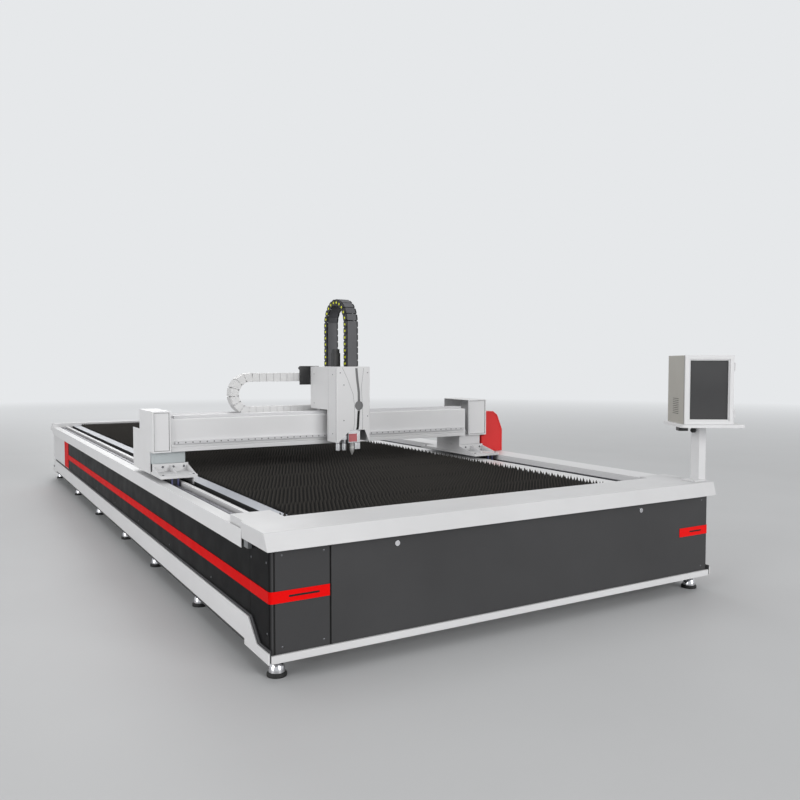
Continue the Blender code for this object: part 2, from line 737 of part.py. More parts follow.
def slot_cutter(start, length, face, material):
    """Shape the dark slot in a red band."""
    middle = (BAND_BOTTOM + BAND_TOP) / 2
    outline = rounded(start, start + length, middle - SLOT_HEIGHT / 2, middle + SLOT_HEIGHT / 2,
                      SLOT_HEIGHT / 2)
    return prism("slot", "Y", outline, face - OVERRUN, face + BAND + GAP / 2, material)


def red_bands(looks):
    """Build the red bands with their slots and the T at each side's far end."""
    red = looks["red_enamel"]
    face = PANEL_OUT - GAP - BAND
    left_plan = corner_sheet(face, face, CORNER_SEAM, SIDE_SEAM, BAND, False)
    corner_band = prism("corner_band", "Z", left_plan, BAND_BOTTOM, BAND_TOP, red)
    cut(corner_band, slot_cutter(SLOT_START, SLOT_LENGTH, face, red))
    right_plan = corner_sheet(face, face, mirror_x(BAND_START), RIGHT_RETURN, BAND, True)
    front_band = prism("front_band_right", "Z", right_plan, BAND_BOTTOM, BAND_TOP, red)
    cut(front_band, slot_cutter(RIGHT_SLOT_START, RIGHT_SLOT_LENGTH, face, red))
    pieces = [corner_band, front_band]
    for name, start, low in (("stripe_left", SIDE_SEAM + SEAM, face),
                             ("stripe_right", RIGHT_RETURN + SEAM, mirror_x(face + BAND))):
        tee = [(start, BAND_BOTTOM), (TEE_START, BAND_BOTTOM), (TEE_START, TEE_BOTTOM),
               (TEE_START + TEE_LENGTH, TEE_BOTTOM), (TEE_START + TEE_LENGTH, TEE_TOP),
               (TEE_START, TEE_TOP), (TEE_START, BAND_TOP), (start, BAND_TOP)]
        pieces.append(prism(name, "X", tee, low, low + BAND, red))
    return pieces


def panel_lock(side, looks):
    """Turn one quarter-turn lock with its tongue behind the panel."""
    steel = looks["ground_steel"]
    x = LOCK_PLACES[side]
    face = PANEL_OUT - GAP
    back = PANEL_IN + GAP + LOCK_TONGUE_THICKNESS
    profile = [(0, face - LOCK_FACE), (LOCK_FACE_RADIUS, face - LOCK_FACE), (LOCK_FACE_RADIUS, face),
               (LOCK_BARREL_RADIUS, face), (LOCK_BARREL_RADIUS, back), (0, back)]
    lock = turned(f"lock_{side}", profile, LOCK_SIDES, "Y", (x, 0, LOCK_HEIGHT), steel)
    half = LOCK_TONGUE_WIDTH / 2
    tongue = box("tongue", (x - half, x + half), (back - LOCK_TONGUE_THICKNESS, back),
                 (LOCK_HEIGHT, LOCK_HEIGHT + LOCK_TONGUE), steel)
    return fuse(lock, tongue)


def decks(looks):
    """Build the folded decks over both ends of the bed."""
    white = looks["white_enamel"]
    right = BED_WIDTH
    left_arm = LEFT_ARM_WIDTH
    right_arm = right - RIGHT_ARM_WIDTH
    inner = [(right_arm, RIGHT_ARM_DEPTH), (right_arm, DECK_DEPTH),
             (left_arm + ARM_CHAMFER_WIDTH, DECK_DEPTH), (left_arm, DECK_DEPTH + ARM_CHAMFER),
             (left_arm, LEFT_ARM_DEPTH), (0, LEFT_ARM_DEPTH), (0, LIP_END + LIP_CHAMFER)]
    upper = [(0, LIP_END), (0, 0), (right, 0), (right, RIGHT_ARM_DEPTH)] + inner
    lower = [(-DECK_FLARE, LIP_END), (-DECK_FLARE, -DECK_FLARE), (right + DECK_FLARE, -DECK_FLARE),
             (right + DECK_FLARE, RIGHT_ARM_DEPTH)] + inner
    front = loft("front_deck", lower, upper, DECK_BOTTOM, DECK_TOP, white)
    start = REAR_DECK_FRONT
    end = BED_LENGTH
    upper = [(0, start), (right, start), (right, end), (0, end)]
    lower = [(-DECK_FLARE, start), (right + DECK_FLARE, start), (right + DECK_FLARE, end + DECK_FLARE),
             (-DECK_FLARE, end + DECK_FLARE)]
    rear = loft("rear_deck", lower, upper, DECK_BOTTOM, DECK_TOP, white)
    return [front, rear]


def rail_covers(looks):
    """Fold the trough over the left rail and the raised cover beside the right one."""
    white = looks["white_enamel"]
    out = -COVER_OVERHANG
    foot = DECK_BOTTOM
    under = LEFT_COVER_TOP - SHEET
    left = [(out, COVER_HEM), (out, LEFT_COVER_TOP), (CHANNEL_START, LEFT_COVER_TOP),
            (CHANNEL_START, foot + SHEET), (CHANNEL_END, foot + SHEET), (CHANNEL_END, LEFT_COVER_TOP),
            (LIP_SIDE, LEFT_COVER_TOP), (LIP_SIDE, foot), (LIP_SIDE - SHEET, foot), (LIP_SIDE - SHEET, under),
            (CHANNEL_END + SHEET, under), (CHANNEL_END + SHEET, foot), (CHANNEL_START - SHEET, foot),
            (CHANNEL_START - SHEET, under), (out + SHEET, under), (out + SHEET, COVER_HEM)]
    out = BED_WIDTH + COVER_OVERHANG
    under = RIGHT_COVER_TOP - SHEET
    inner = RIGHT_COVER_X
    right = [(out, COVER_HEM), (out, RIGHT_COVER_TOP), (inner, RIGHT_COVER_TOP), (inner, foot),
             (inner + COVER_FOOT, foot), (inner + COVER_FOOT, foot + SHEET), (inner + SHEET, foot + SHEET),
             (inner + SHEET, under), (out - SHEET, under), (out - SHEET, COVER_HEM)]
    end = REAR_DECK_FRONT - GAP
    return [prism("rail_cover_left", "Y", left, LEFT_ARM_DEPTH + GAP, end, white),
            prism("rail_cover_right", "Y", right, RIGHT_ARM_DEPTH + GAP, end, white)]


def guide_rail_outline(x, low):
    """Outline a profiled guide rail with its waist."""
    half = RAIL_WIDTH / 2
    waist = half - RAIL_WAIST
    foot, middle, crown = [low + (RAIL_TOP - low) * share for share in RAIL_STEP_SHARES]
    side = [(half, low), (half, foot), (waist, middle), (half, crown), (half, RAIL_TOP)]
    return [(x + a, z) for a, z in side] + [(x - a, z) for a, z in reversed(side)]


def rails_and_racks(looks):
    """Lay the guide rails and the racks that the gantry runs on."""
    steel = looks["ground_steel"]
    end = REAR_DECK_FRONT - GAP
    left = guide_rail_outline(LEFT_RAIL_X, TROUGH_FLOOR + GAP)
    right = guide_rail_outline(RIGHT_RAIL_X, FRAME_TOP + GAP)
    pieces = [prism("guide_rail_left", "Y", left, LEFT_ARM_DEPTH + GAP, end, steel),
              prism("guide_rail_right", "Y", right, RIGHT_ARM_DEPTH + GAP, end, steel)]
    for name, x, start in (("rack_left", LEFT_RACK_X, LEFT_ARM_DEPTH),
                           ("rack_right", RIGHT_RACK_X, RIGHT_ARM_DEPTH)):
        pieces.append(box(name, (x, x + RACK_WIDTH), (start + GAP, end), (FRAME_TOP + GAP, RACK_TOP), steel))
    return pieces


def slat_outline(left, right):
    """Outline one serrated slat with pointed teeth."""
    count = round((right - left) / TOOTH_PITCH)
    pitch = (right - left) / count
    points = [(left, SLAT_TOP - SLAT_DEPTH), (right, SLAT_TOP - SLAT_DEPTH)]
    root = SLAT_TOP - TOOTH_HEIGHT
    for index in reversed(range(count)):
        points += [(left + (index + 1) * pitch, root), (left + (index + TOOTH_TIP_SHARE) * pitch, SLAT_TOP)]
    points.append((left, root))
    return points


def slat_table(looks):
    """Weld the serrated slats to the bearers that carry them."""
    steel = looks["scorched_steel"]
    left = TABLE_LEFT + SLAT_END_GAP
    right = TABLE_RIGHT - SLAT_END_GAP
    start = DECK_DEPTH + SLAT_MARGIN
    end = REAR_DECK_FRONT - SLAT_MARGIN
    outline = slat_outline(left, right)
    count = int((end - start - SLAT_THICKNESS) / SLAT_PITCH) + 1
    pitch = (end - start - SLAT_THICKNESS) / (count - 1)
    slats = [prism("slat", "Y", outline, start + index * pitch, start + index * pitch + SLAT_THICKNESS, steel)
             for index in range(count)]
    low = FRAME_TOP - SHELF_THICKNESS
    span = (right - left - 2 * BEARER_INSET - BEARER_WIDTH) / (BEARER_COUNT - 1)
    bearers = []
    for index in range(BEARER_COUNT):
        x = left + BEARER_INSET + index * span
        bearers.append(box("bearer", (x, x + BEARER_WIDTH), (start - SLAT_MARGIN / 2, end + SLAT_MARGIN / 2),
                           (low, low + BEARER_HEIGHT), steel))
    table = slats[0]
    table.name = "slat_table"
    return fuse(table, *bearers, *slats[1:])


def gantry_foot(side, looks):
    """Build one foot of the gantry: plate, guide blocks, gusseted flange and pedestal."""
    paint = looks["grey_primer"]
    if side == "left":
        x0, rail_x, pinion_x = LEFT_FOOT_X, LEFT_RAIL_X, LEFT_PINION_X
    else:
        x0, rail_x, pinion_x = RIGHT_FOOT_X, RIGHT_RAIL_X, RIGHT_PINION_X
    x1 = x0 + FOOT_WIDTH
    back = GANTRY_FRONT + FOOT_LENGTH
    plate = box(f"foot_{side}", (x0, x1), (GANTRY_FRONT, back), (PLATE_BOTTOM, PLATE_TOP), paint)
    flange_y = GANTRY_FRONT + FLANGE_FRONT
    low = PLATE_TOP - GAP
    parts = [box("flange", (x0, x1), (flange_y, PEDESTAL_FRONT), (low, PLATE_TOP + FLANGE_HEIGHT), paint),
             box("pedestal", (x0 + PEDESTAL_INSET, x1 - PEDESTAL_INSET),
                 (PEDESTAL_FRONT - GAP, PEDESTAL_FRONT + PEDESTAL_DEPTH), (low, PEDESTAL_TOP), paint)]
    gusset = [(flange_y + GAP, low), (flange_y + GAP, PLATE_TOP + FLANGE_HEIGHT - OVERRUN),
              (flange_y - GUSSET_REACH, low)]
    for index in range(GUSSET_COUNT):
        x = x0 + (x1 - x0 - GUSSET_WIDTH) * index / (GUSSET_COUNT - 1)
        inset = GAP if index == 0 else (-GAP if index == GUSSET_COUNT - 1 else 0)
        parts.append(prism("gusset", "X", gusset, x + inset, x + inset + GUSSET_WIDTH, paint))
    half = BLOCK_WIDTH / 2
    slot = RAIL_WIDTH / 2 + RUN
    reach = RAIL_TOP - BLOCK_REACH
    outline = [(rail_x - half, reach), (rail_x - slot, reach), (rail_x - slot, RAIL_TOP + GAP),
               (rail_x + slot, RAIL_TOP + GAP), (rail_x + slot, reach), (rail_x + half, reach),
               (rail_x + half, PLATE_BOTTOM + GAP), (rail_x - half, PLATE_BOTTOM + GAP)]
    for start in BLOCK_STARTS:
        y = GANTRY_FRONT + start
        parts.append(prism("block", "Y", outline, y, y + BLOCK_LENGTH, paint))
    fuse(plate, *parts)
    bore = rod("bore", SHAFT_RADIUS + RUN, PLATE_BOTTOM - OVERRUN, PLATE_TOP + OVERRUN, LOCK_SIDES, "Z",
               (pinion_x, DRIVE_Y, 0), paint)
    return cut(plate, bore)


def drive_motor(side, looks):
    """Build one upright servo motor with its flange."""
    black = looks["black_motor"]
    x = LEFT_PINION_X if side == "left" else RIGHT_PINION_X
    half = MOTOR_SIZE / 2
    slim = half * MOTOR_BODY_SHARE
    base = PLATE_TOP + GAP
    radius = half - slim
    flange = box(f"drive_{side}", (x - half, x + half), (DRIVE_Y - half, DRIVE_Y + half),
                 (base, base + MOTOR_FLANGE), black)
    outline = rounded(x - slim, x + slim, DRIVE_Y - slim, DRIVE_Y + slim, radius, 2)
    body = prism("body", "Z", outline, base + MOTOR_FLANGE - GAP, base + MOTOR_HEIGHT, black)
    fuse(flange, body)
    socket = rod("socket", SHAFT_RADIUS + RUN, base - OVERRUN, base + MOTOR_FLANGE, LOCK_SIDES, "Z",
                 (x, DRIVE_Y, 0), black)
    return cut(flange, socket)


def drive_pinion(side, looks):
    """Cut one drive pinion with its shaft."""
    steel = looks["ground_steel"]
    x = LEFT_PINION_X if side == "left" else RIGHT_PINION_X
    root = PINION_RADIUS * PINION_ROOT_SHARE
    points = []
    for tooth in range(PINION_TEETH):
        for share, radius in ((0, root), (TOOTH_FLANK_SHARE, PINION_RADIUS),
                              (1 - TOOTH_FLANK_SHARE, PINION_RADIUS), (1 - GAP / PINION_RADIUS, root)):
            angle = math.tau * (tooth + share) / PINION_TEETH
            points.append((x + radius * math.cos(angle), DRIVE_Y + radius * math.sin(angle)))
    low = RACK_TOP - PINION_HEIGHT
    wheel = prism(f"pinion_{side}", "Z", points, low, RACK_TOP, steel)
    shaft = rod("shaft", SHAFT_RADIUS, low + GAP, PLATE_TOP + MOTOR_FLANGE - RUN, LOCK_SIDES, "Z",
                (x, DRIVE_Y, 0), steel)
    return fuse(wheel, shaft)


def beam_pieces(looks):
    """Build the gantry's beam with its rails and rack."""
    white = looks["white_enamel"]
    steel = looks["ground_steel"]
    front = BEAM_FRONT
    groove = front + BEAM_GROOVE
    low = BEAM_BOTTOM + BEAM_BAND_LOW
    high = BEAM_BOTTOM + BEAM_BAND_HIGH
    outline = [(front, BEAM_BOTTOM), (front, low), (groove, low), (groove, low + BEAM_GROOVE),
               (front, low + BEAM_GROOVE), (front, high), (groove, high), (groove, BEAM_TOP - BEAM_EDGE),
               (groove + BEAM_EDGE, BEAM_TOP), (BEAM_BACK, BEAM_TOP), (BEAM_BACK, BEAM_BOTTOM)]
    beam = prism("beam", "X", outline, BEAM_LEFT, BEAM_RIGHT, white)
    start = BEAM_LEFT + BEAM_RAIL_END
    end = BEAM_RIGHT - BEAM_RAIL_END
    half = BEAM_RAIL_WIDTH / 2
    lower = box("beam_rail_bottom", (start, end), (groove - GAP - BEAM_RAIL_DEPTH, groove - GAP),
                (BEAM_RAIL_HEIGHT - half, BEAM_RAIL_HEIGHT + half), steel)
    rail_y = front + TOP_RAIL_INSET
    upper = box("beam_rail_top", (start, end), (rail_y, rail_y + BEAM_RAIL_WIDTH),
                (BEAM_TOP + GAP, BEAM_TOP + GAP + BEAM_RAIL_DEPTH), steel)
    rack_y = front + BEAM_RACK_INSET
    rack = box("beam_rack", (start, end), (rack_y, rack_y + BEAM_RACK_WIDTH),
               (BEAM_TOP + GAP, BEAM_TOP + GAP + BEAM_RACK_HEIGHT), steel)
    return [beam, lower, upper, rack]


def recessed_cover(name, xs, ys, zs, open_side, material):
    """Fold an end cover that is open towards the beam and recessed in front."""
    cover = box(name, xs, ys, zs, material)
    wall = END_COVER_SHEET
    if open_side > 0:
        hollow_x = (xs[0] + wall, xs[1] + OVERRUN)
    else:
        hollow_x = (xs[0] - OVERRUN, xs[1] - wall)
    hollow = box("hollow", hollow_x, (ys[0] + wall + FACE_RECESS, ys[1] - wall),
                 (zs[0] + wall, zs[1] - wall), material)
    face = box("face", (xs[0] + FACE_RIM, xs[1] - FACE_RIM), (ys[0] - OVERRUN, ys[0] + FACE_RECESS),
               (zs[0] + FACE_RIM, zs[1] - FACE_RIM), material)
    return cut(cover, hollow, face)


def end_covers(looks):
    """Build the covers over both ends of the beam."""
    white = looks["white_enamel"]
    back = END_COVER_FRONT + END_COVER_DEPTH
    low = BEAM_BOTTOM
    left = recessed_cover("end_cover_left", (0, END_COVER_RIGHT), (END_COVER_FRONT, back),
                          (low, END_COVER_TOP), 1, white)
    step = SIDE_PLATE_STEP
    front = SIDE_PLATE_FRONT
    plate_end = front + SIDE_PLATE_LENGTH
    high = END_COVER_TOP - FACE_RIM
    plate_outline = [(front, SIDE_PLATE_BOTTOM), (plate_end, SIDE_PLATE_BOTTOM), (plate_end, step),
                     (back - FACE_RIM, step), (back - FACE_RIM, high), (front, high)]
    plate = prism("plate", "X", plate_outline, GAP, END_COVER_SHEET, white)
    fuse(left, plate)
    right = recessed_cover("end_cover_right", (RIGHT_COVER_START, RIGHT_COVER_END),
                           (RIGHT_END_FRONT, RIGHT_END_FRONT + RIGHT_END_DEPTH),
                           (low, RIGHT_END_TOP), -1, white)
    return [left, right]


def guard(looks):
    """Fold the red guard beside the right end cover."""
    red = looks["red_enamel"]
    inner = RIGHT_FOOT_X + FOOT_WIDTH + GAP
    side = RIGHT_COVER_END + GAP
    floor = PLATE_TOP + GAP
    outline = [(inner, floor), (inner, GUARD_SHOULDER), (side, GUARD_SHOULDER), (side, GUARD_TOP),
               (GUARD_CROWN, GUARD_TOP), (GUARD_FACET, GUARD_FACET_TOP), (GUARD_OUT, GUARD_WAIST),
               (GUARD_OUT, GUARD_BOTTOM), (inner + GUARD_SHEET, GUARD_BOTTOM), (inner + GUARD_SHEET, floor)]
    body = prism("guard_right", "Y", outline, GUARD_FRONT, GUARD_FRONT + GUARD_DEPTH, red)
    face = [(side + FACE_RIM, GUARD_SHOULDER - FACE_RIM), (side + FACE_RIM, GUARD_TOP - FACE_RIM),
            (GUARD_CROWN - FACE_RIM / 2, GUARD_TOP - FACE_RIM),
            (GUARD_FACET - FACE_RIM, GUARD_FACET_TOP - FACE_RIM / 2), (GUARD_OUT - FACE_RIM, GUARD_WAIST),
            (GUARD_OUT - FACE_RIM, GUARD_BOTTOM + FACE_RIM), (side + FACE_RIM, GUARD_BOTTOM + FACE_RIM)]
    recess = prism("recess", "Y", face, GUARD_FRONT - OVERRUN, GUARD_FRONT + GUARD_SHEET, red)
    return cut(body, recess)


def chain_path(start, bend, end, radius, link):
    """Walk a U-shaped chain: stations with their place and outward direction, a pair at each link joint."""
    arc = math.pi * radius
    run_in = abs(start - bend)
    run_out = abs(end - bend)
    total = run_in + arc + run_out
    count = round(total / link)
    pitch = total / count
    stations = []
    for index in range(count + 1):
        for side, share in ((-1, CHAIN_NICK_SHARE), (1, CHAIN_NICK_SHARE)):
            nick = side * share * pitch
            place = index * pitch + nick
            if 0 < place < total:
                stations.append((place, False))
        if 0 < index < count:
            stations.append((index * pitch, True))
    stations = sorted(stations + [(0, False), (total, False)])
    path = []
    for place, nick in stations:
        if place <= run_in:
            path.append((start - place, -radius, 0, -1, nick))
        elif place >= run_in + arc:
            path.append((bend + place - run_in - arc, radius, 0, 1, nick))
        else:
            angle = (place - run_in) / radius
            path.append((bend - radius * math.sin(angle), -radius * math.cos(angle),
                         -math.sin(angle), -math.cos(angle), nick))
    return path


def chain_outline(path, thickness, nick_depth):
    """Outline a chain on its path, with a nick at each link joint on both faces."""
    outer = []
    inner = []
    for along, height, out_a, out_b, nick in path:
        depth = thickness / 2 - (nick_depth if nick else 0)
        outer.append((along + out_a * depth, height + out_b * depth))
        inner.append((along - out_a * depth, height - out_b * depth))
    return outer + inner[::-1]


def beam_chain(looks):
    """Build the white cable chain and the tray behind the beam."""
    white = looks["white_enamel"]
    path = chain_path(CHAIN_FIXED, CHAIN_BEND, CHAIN_MOVING, CHAIN_RADIUS, CHAIN_LINK)
    outline = [(x, CHAIN_AXIS + z) for x, z in chain_outline(path, CHAIN_THICKNESS, CHAIN_NICK)]
    chain = prism("x_chain", "Y", outline, CHAIN_FRONT, CHAIN_FRONT + CHAIN_WIDTH, looks["white_nylon"])
    back = TRAY_FRONT + TRAY_WIDTH
    top = TRAY_FLOOR + TRAY_WALL
    floor = TRAY_FLOOR + TRAY_SHEET
    profile = [(TRAY_FRONT, TRAY_FLOOR - TRAY_WALL), (TRAY_FRONT + TRAY_SHEET, TRAY_FLOOR - TRAY_WALL),
               (TRAY_FRONT + TRAY_SHEET, TRAY_FLOOR), (back, TRAY_FLOOR), (back, top),
               (back - TRAY_SHEET, top), (back - TRAY_SHEET, floor), (TRAY_FRONT, floor)]
    return [chain, prism("chain_tray", "X", profile, TRAY_START, TRAY_END, white)]


def head_cover(looks):
    """Fold the cover of the cutting carriage with its notch, slit, round hole and top hatch."""
    white = looks["white_enamel"]
    outline = [(HEAD_FRONT, HEAD_BOTTOM), (HEAD_CHEEK, HEAD_BOTTOM), (HEAD_CHEEK, HEAD_SHELF),
               (HEAD_BACK, HEAD_SHELF), (HEAD_BACK, HEAD_TOP), (HEAD_FRONT, HEAD_TOP)]
    cover = prism("head_cover", "X", outline, HEAD_LEFT, HEAD_RIGHT, white)
    hollow = box("hollow", (HEAD_LEFT + HEAD_WALL, HEAD_RIGHT - HEAD_WALL),
                 (HEAD_FRONT + HEAD_WALL, HEAD_BACK - HEAD_WALL),
                 (HEAD_BOTTOM - OVERRUN, HEAD_TOP - HEAD_WALL), white)
    through = (HEAD_FRONT - OVERRUN, HEAD_FRONT + HEAD_WALL + OVERRUN)
    under = HEAD_BOTTOM - OVERRUN
    notch_outline = [(HEAD_LEFT + NOTCH_LEFT, under), (HEAD_LEFT + NOTCH_LEFT, HEAD_BOTTOM),
                     (HEAD_LEFT + NOTCH_LEFT_TOP, NOTCH_TOP), (HEAD_RIGHT - NOTCH_RIGHT_TOP, NOTCH_TOP),
                     (HEAD_RIGHT - NOTCH_RIGHT, HEAD_BOTTOM), (HEAD_RIGHT - NOTCH_RIGHT, under)]
    notch = prism("notch", "Y", notch_outline, *through, white)
    half = SLIT_WIDTH / 2
    slit = box("slit", (SLIT_CENTRE - half, SLIT_CENTRE + half), through,
               (NOTCH_TOP - OVERRUN, HEAD_TOP - 2 * HEAD_WALL), white)
    eye = rod("eye", EYE_RADIUS, *through, EYE_SIDES, "Y", (SLIT_CENTRE, 0, EYE_HEIGHT), white)
    hatch_x0 = ZMOTOR_X - ZMOTOR_SIZE / 2 - HATCH_MARGIN
    hatch_x1 = ZCHAIN_LEFT + ZCHAIN_WIDTH + HATCH_MARGIN
    hatch_y0 = ZCHAIN_FRONT - HATCH_MARGIN
    hatch_y1 = ZMOTOR_Y + ZMOTOR_SIZE / 2 + HATCH_MARGIN
    hatch = box("hatch", (hatch_x0, hatch_x1), (hatch_y0, hatch_y1),
                (HEAD_TOP - OVERRUN, HEAD_TOP + OVERRUN), white)
    return cut(cover, hollow, notch, slit, eye, hatch)


def saddle(looks):
    """Build the saddle that grips the beam's rails."""
    steel = looks["frame_paint"]
    top = BEAM_TOP + GAP + BEAM_RAIL_DEPTH
    rail_face = BEAM_FRONT + BEAM_GROOVE - GAP - BEAM_RAIL_DEPTH
    back = SADDLE_FRONT + SADDLE_PLATE
    half = BEAM_RAIL_WIDTH / 2 + RUN
    block_back = rail_face + SADDLE_REACH
    low = BEAM_RAIL_HEIGHT - half
    high = BEAM_RAIL_HEIGHT + half
    rail_y = BEAM_FRONT + TOP_RAIL_INSET
    shelf_back = SADDLE_FRONT + SADDLE_DEPTH
    shelf_low = top + GAP
    shelf_high = HEAD_SHELF + SADDLE_BLOCK
    grip = top - SADDLE_REACH
    slot_front = rail_y - RUN
    slot_back = rail_y + BEAM_RAIL_WIDTH + RUN
    outline = [(SADDLE_FRONT, SADDLE_BOTTOM), (back, SADDLE_BOTTOM), (block_back, SADDLE_BOTTOM),
               (block_back, low), (rail_face - RUN, low), (rail_face - RUN, high), (block_back, high),
               (block_back, high + SADDLE_BLOCK), (back, high + SADDLE_BLOCK), (back, shelf_low),
               (slot_front - SADDLE_BLOCK, shelf_low), (slot_front - SADDLE_BLOCK, grip), (slot_front, grip),
               (slot_front, shelf_low), (slot_back, shelf_low), (slot_back, grip),
               (slot_back + SADDLE_BLOCK, grip), (slot_back + SADDLE_BLOCK, shelf_low),
               (shelf_back, shelf_low), (shelf_back, shelf_high), (SADDLE_FRONT, shelf_high)]
    return prism("saddle", "X", outline, HEAD_LEFT + SADDLE_INSET, HEAD_RIGHT - SADDLE_INSET, steel)


def carriage_pieces(looks):
    """Build the upright block, the lift motor and the chain's bracket."""
    steel = looks["frame_paint"]
    black = looks["black_motor"]
    xs = (HEAD_LEFT + BLOCK_PLATE_INSET, HEAD_RIGHT - BLOCK_PLATE_INSET)
    block = box("head_block", xs, (BLOCK_PLATE_FRONT, SADDLE_FRONT - GAP),
                (BLOCK_PLATE_BOTTOM, BLOCK_PLATE_TOP), steel)
    half = ZMOTOR_SIZE / 2
    shelf = box("shelf", (ZMOTOR_X - half, xs[1] - GAP),
                (SADDLE_FRONT - 2 * GAP - RUN, BLOCK_PLATE_FRONT + MOTOR_SHELF_DEPTH),
                (BLOCK_PLATE_TOP - MOTOR_SHELF, BLOCK_PLATE_TOP - GAP), steel)
    fuse(block, shelf)
    outline = rounded(ZMOTOR_X - half, ZMOTOR_X + half, ZMOTOR_Y - half, ZMOTOR_Y + half, half / 5, 2)
    motor = prism("z_motor", "Z", outline, BLOCK_PLATE_TOP + GAP, ZMOTOR_TOP, black)
    plate_front = HEAD_BACK + GAP
    plate_back = CHAIN_FRONT - GAP
    bracket = box("chain_bracket", (BRACKET_START, BRACKET_END), (plate_front, plate_back),
                  (BRACKET_BOTTOM, BRACKET_TOP), black)
    chain_top = CHAIN_AXIS + CHAIN_RADIUS + CHAIN_THICKNESS / 2
    end_block = box("end_block", (CHAIN_MOVING + GAP, CHAIN_MOVING + BRACKET_BLOCK),
                    (plate_back - GAP, CHAIN_FRONT + CHAIN_WIDTH),
                    (chain_top - CHAIN_THICKNESS, chain_top), black)
    lugs = []
    for index in range(BRACKET_LUGS):
        x = BRACKET_START + BRACKET_LUG_RADIUS + BRACKET_LUG_PITCH * index + GAP
        lugs.append(rod("lug", BRACKET_LUG_RADIUS, plate_back - GAP, plate_back + BRACKET_LUG_LENGTH,
                        BRACKET_LUG_SIDES, "Y",
                        (x, 0, BRACKET_TOP - BRACKET_LUG_RADIUS - GAP), black))
    fuse(bracket, end_block, *lugs)
    return [block, motor, bracket]


def lift_pieces(looks):
    """Build what rises and lowers: slide plate, laser head, nozzle and black cable chain."""
    steel = looks["ground_steel"]
    x0 = HEAD_LEFT + ZSLIDE_INSET
    x1 = HEAD_RIGHT - ZSLIDE_INSET
    slide = box("z_slide", (x0, x1), (ZSLIDE_FRONT, ZSLIDE_FRONT + ZSLIDE_THICKNESS),
                (ZSLIDE_BOTTOM, ZSLIDE_TOP), looks["frame_paint"])
    lug_low = ZSLIDE_TOP - ZSLIDE_THICKNESS
    lug = box("lug", (ZCHAIN_LEFT, ZCHAIN_LEFT + ZCHAIN_WIDTH), (ZCHAIN_FRONT, ZSLIDE_FRONT + GAP),
              (lug_low, ZSLIDE_TOP - GAP), looks["frame_paint"])
    fuse(slide, lug)
    half = LASER_WIDTH / 2
    body = box("laser_head", (LASER_X - half, LASER_X + half), (LASER_BACK - LASER_DEPTH, LASER_BACK),
               (LASER_BOTTOM, LASER_TOP), steel)
    parts = [rod("collimator", COLLIMATOR_RADIUS, LASER_TOP - GAP, COLLIMATOR_TOP, LOCK_SIDES, "Z",
                 (LASER_X, LASER_Y, 0), steel)]
    yoke_end = LASER_X - half + GAP
    parts.append(box("yoke", (GAS_FIRST, yoke_end),
                     (LASER_Y - GAS_YOKE_DEPTH / 2, LASER_Y + GAS_YOKE_DEPTH / 2),
                     (GAS_YOKE_BOTTOM, GAS_TOP - GAP), steel))
    for index in range(2):
        parts.append(rod("gas", GAS_RADIUS, GAS_BOTTOM, GAS_TOP, FOOT_SIDES, "Z",
                         (GAS_FIRST + index * GAS_PITCH, LASER_Y, 0), steel))
    foot_x = LASER_X + half - FOOT_BLOCK_WIDTH
    parts.append(box("foot_block", (foot_x, foot_x + FOOT_BLOCK_WIDTH - GAP),
                     (LASER_BACK - LASER_DEPTH + GAP, LASER_BACK - GAP),
                     (FOOT_BLOCK_BOTTOM, LASER_BOTTOM + GAP), steel))
    fuse(body, *parts)
    top = LASER_BOTTOM - GAP
    cone = NOZZLE_TIP + NOZZLE_CONE
    profile = [(0, top), (NOZZLE_TOP_RADIUS, top), (NOZZLE_TOP_RADIUS, cone + NOZZLE_COLLAR),
               (NOZZLE_COLLAR, cone), (NOZZLE_TIP_RADIUS, NOZZLE_TIP), (0, NOZZLE_TIP)]
    nozzle = turned("nozzle", profile, NOZZLE_SIDES, "Z", (NOZZLE_X, LASER_Y, 0), looks["brass"])
    radius = (ZCHAIN_BACK - ZCHAIN_FRONT - ZCHAIN_THICKNESS) / 2
    centre_y = (ZCHAIN_FRONT + ZCHAIN_BACK) / 2
    bend = ZCHAIN_TOP - ZCHAIN_THICKNESS / 2 - radius
    path = chain_path(-(HEAD_TOP + GAP), -bend, -(ZSLIDE_TOP + GAP), radius, ZCHAIN_LINK)
    upright = chain_outline(path, ZCHAIN_THICKNESS, ZCHAIN_NICK)
    outline = [(centre_y - across, -along) for along, across in upright]
    chain = prism("z_chain", "X", outline, ZCHAIN_LEFT, ZCHAIN_LEFT + ZCHAIN_WIDTH, looks["black_nylon"])
    return [slide, body, nozzle], chain


def console_post(looks):
    """Build the console's square post with its foot flange and swivel spigot."""
    white = looks["white_enamel"]
    half = POST_SIZE / 2
    foot = POST_FLANGE / 2
    low = DECK_TOP + GAP
    shift = min(0, BED_WIDTH - POST_X - foot)
    post = box("console_post", (POST_X - half, POST_X + half), (POST_Y - half, POST_Y + half),
               (low, POST_TOP), white)
    flange = box("flange", (POST_X + shift - foot, POST_X + shift + foot), (POST_Y - foot, POST_Y + foot),
                 (low, low + POST_FLANGE_THICKNESS), white)
    spigot = rod("spigot", SPIGOT_RADIUS, POST_TOP - GAP, POST_TOP + SPIGOT_HEIGHT, SPIGOT_SIDES, "Z",
                 (POST_X, POST_Y, 0), white)
    return fuse(post, flange, spigot)


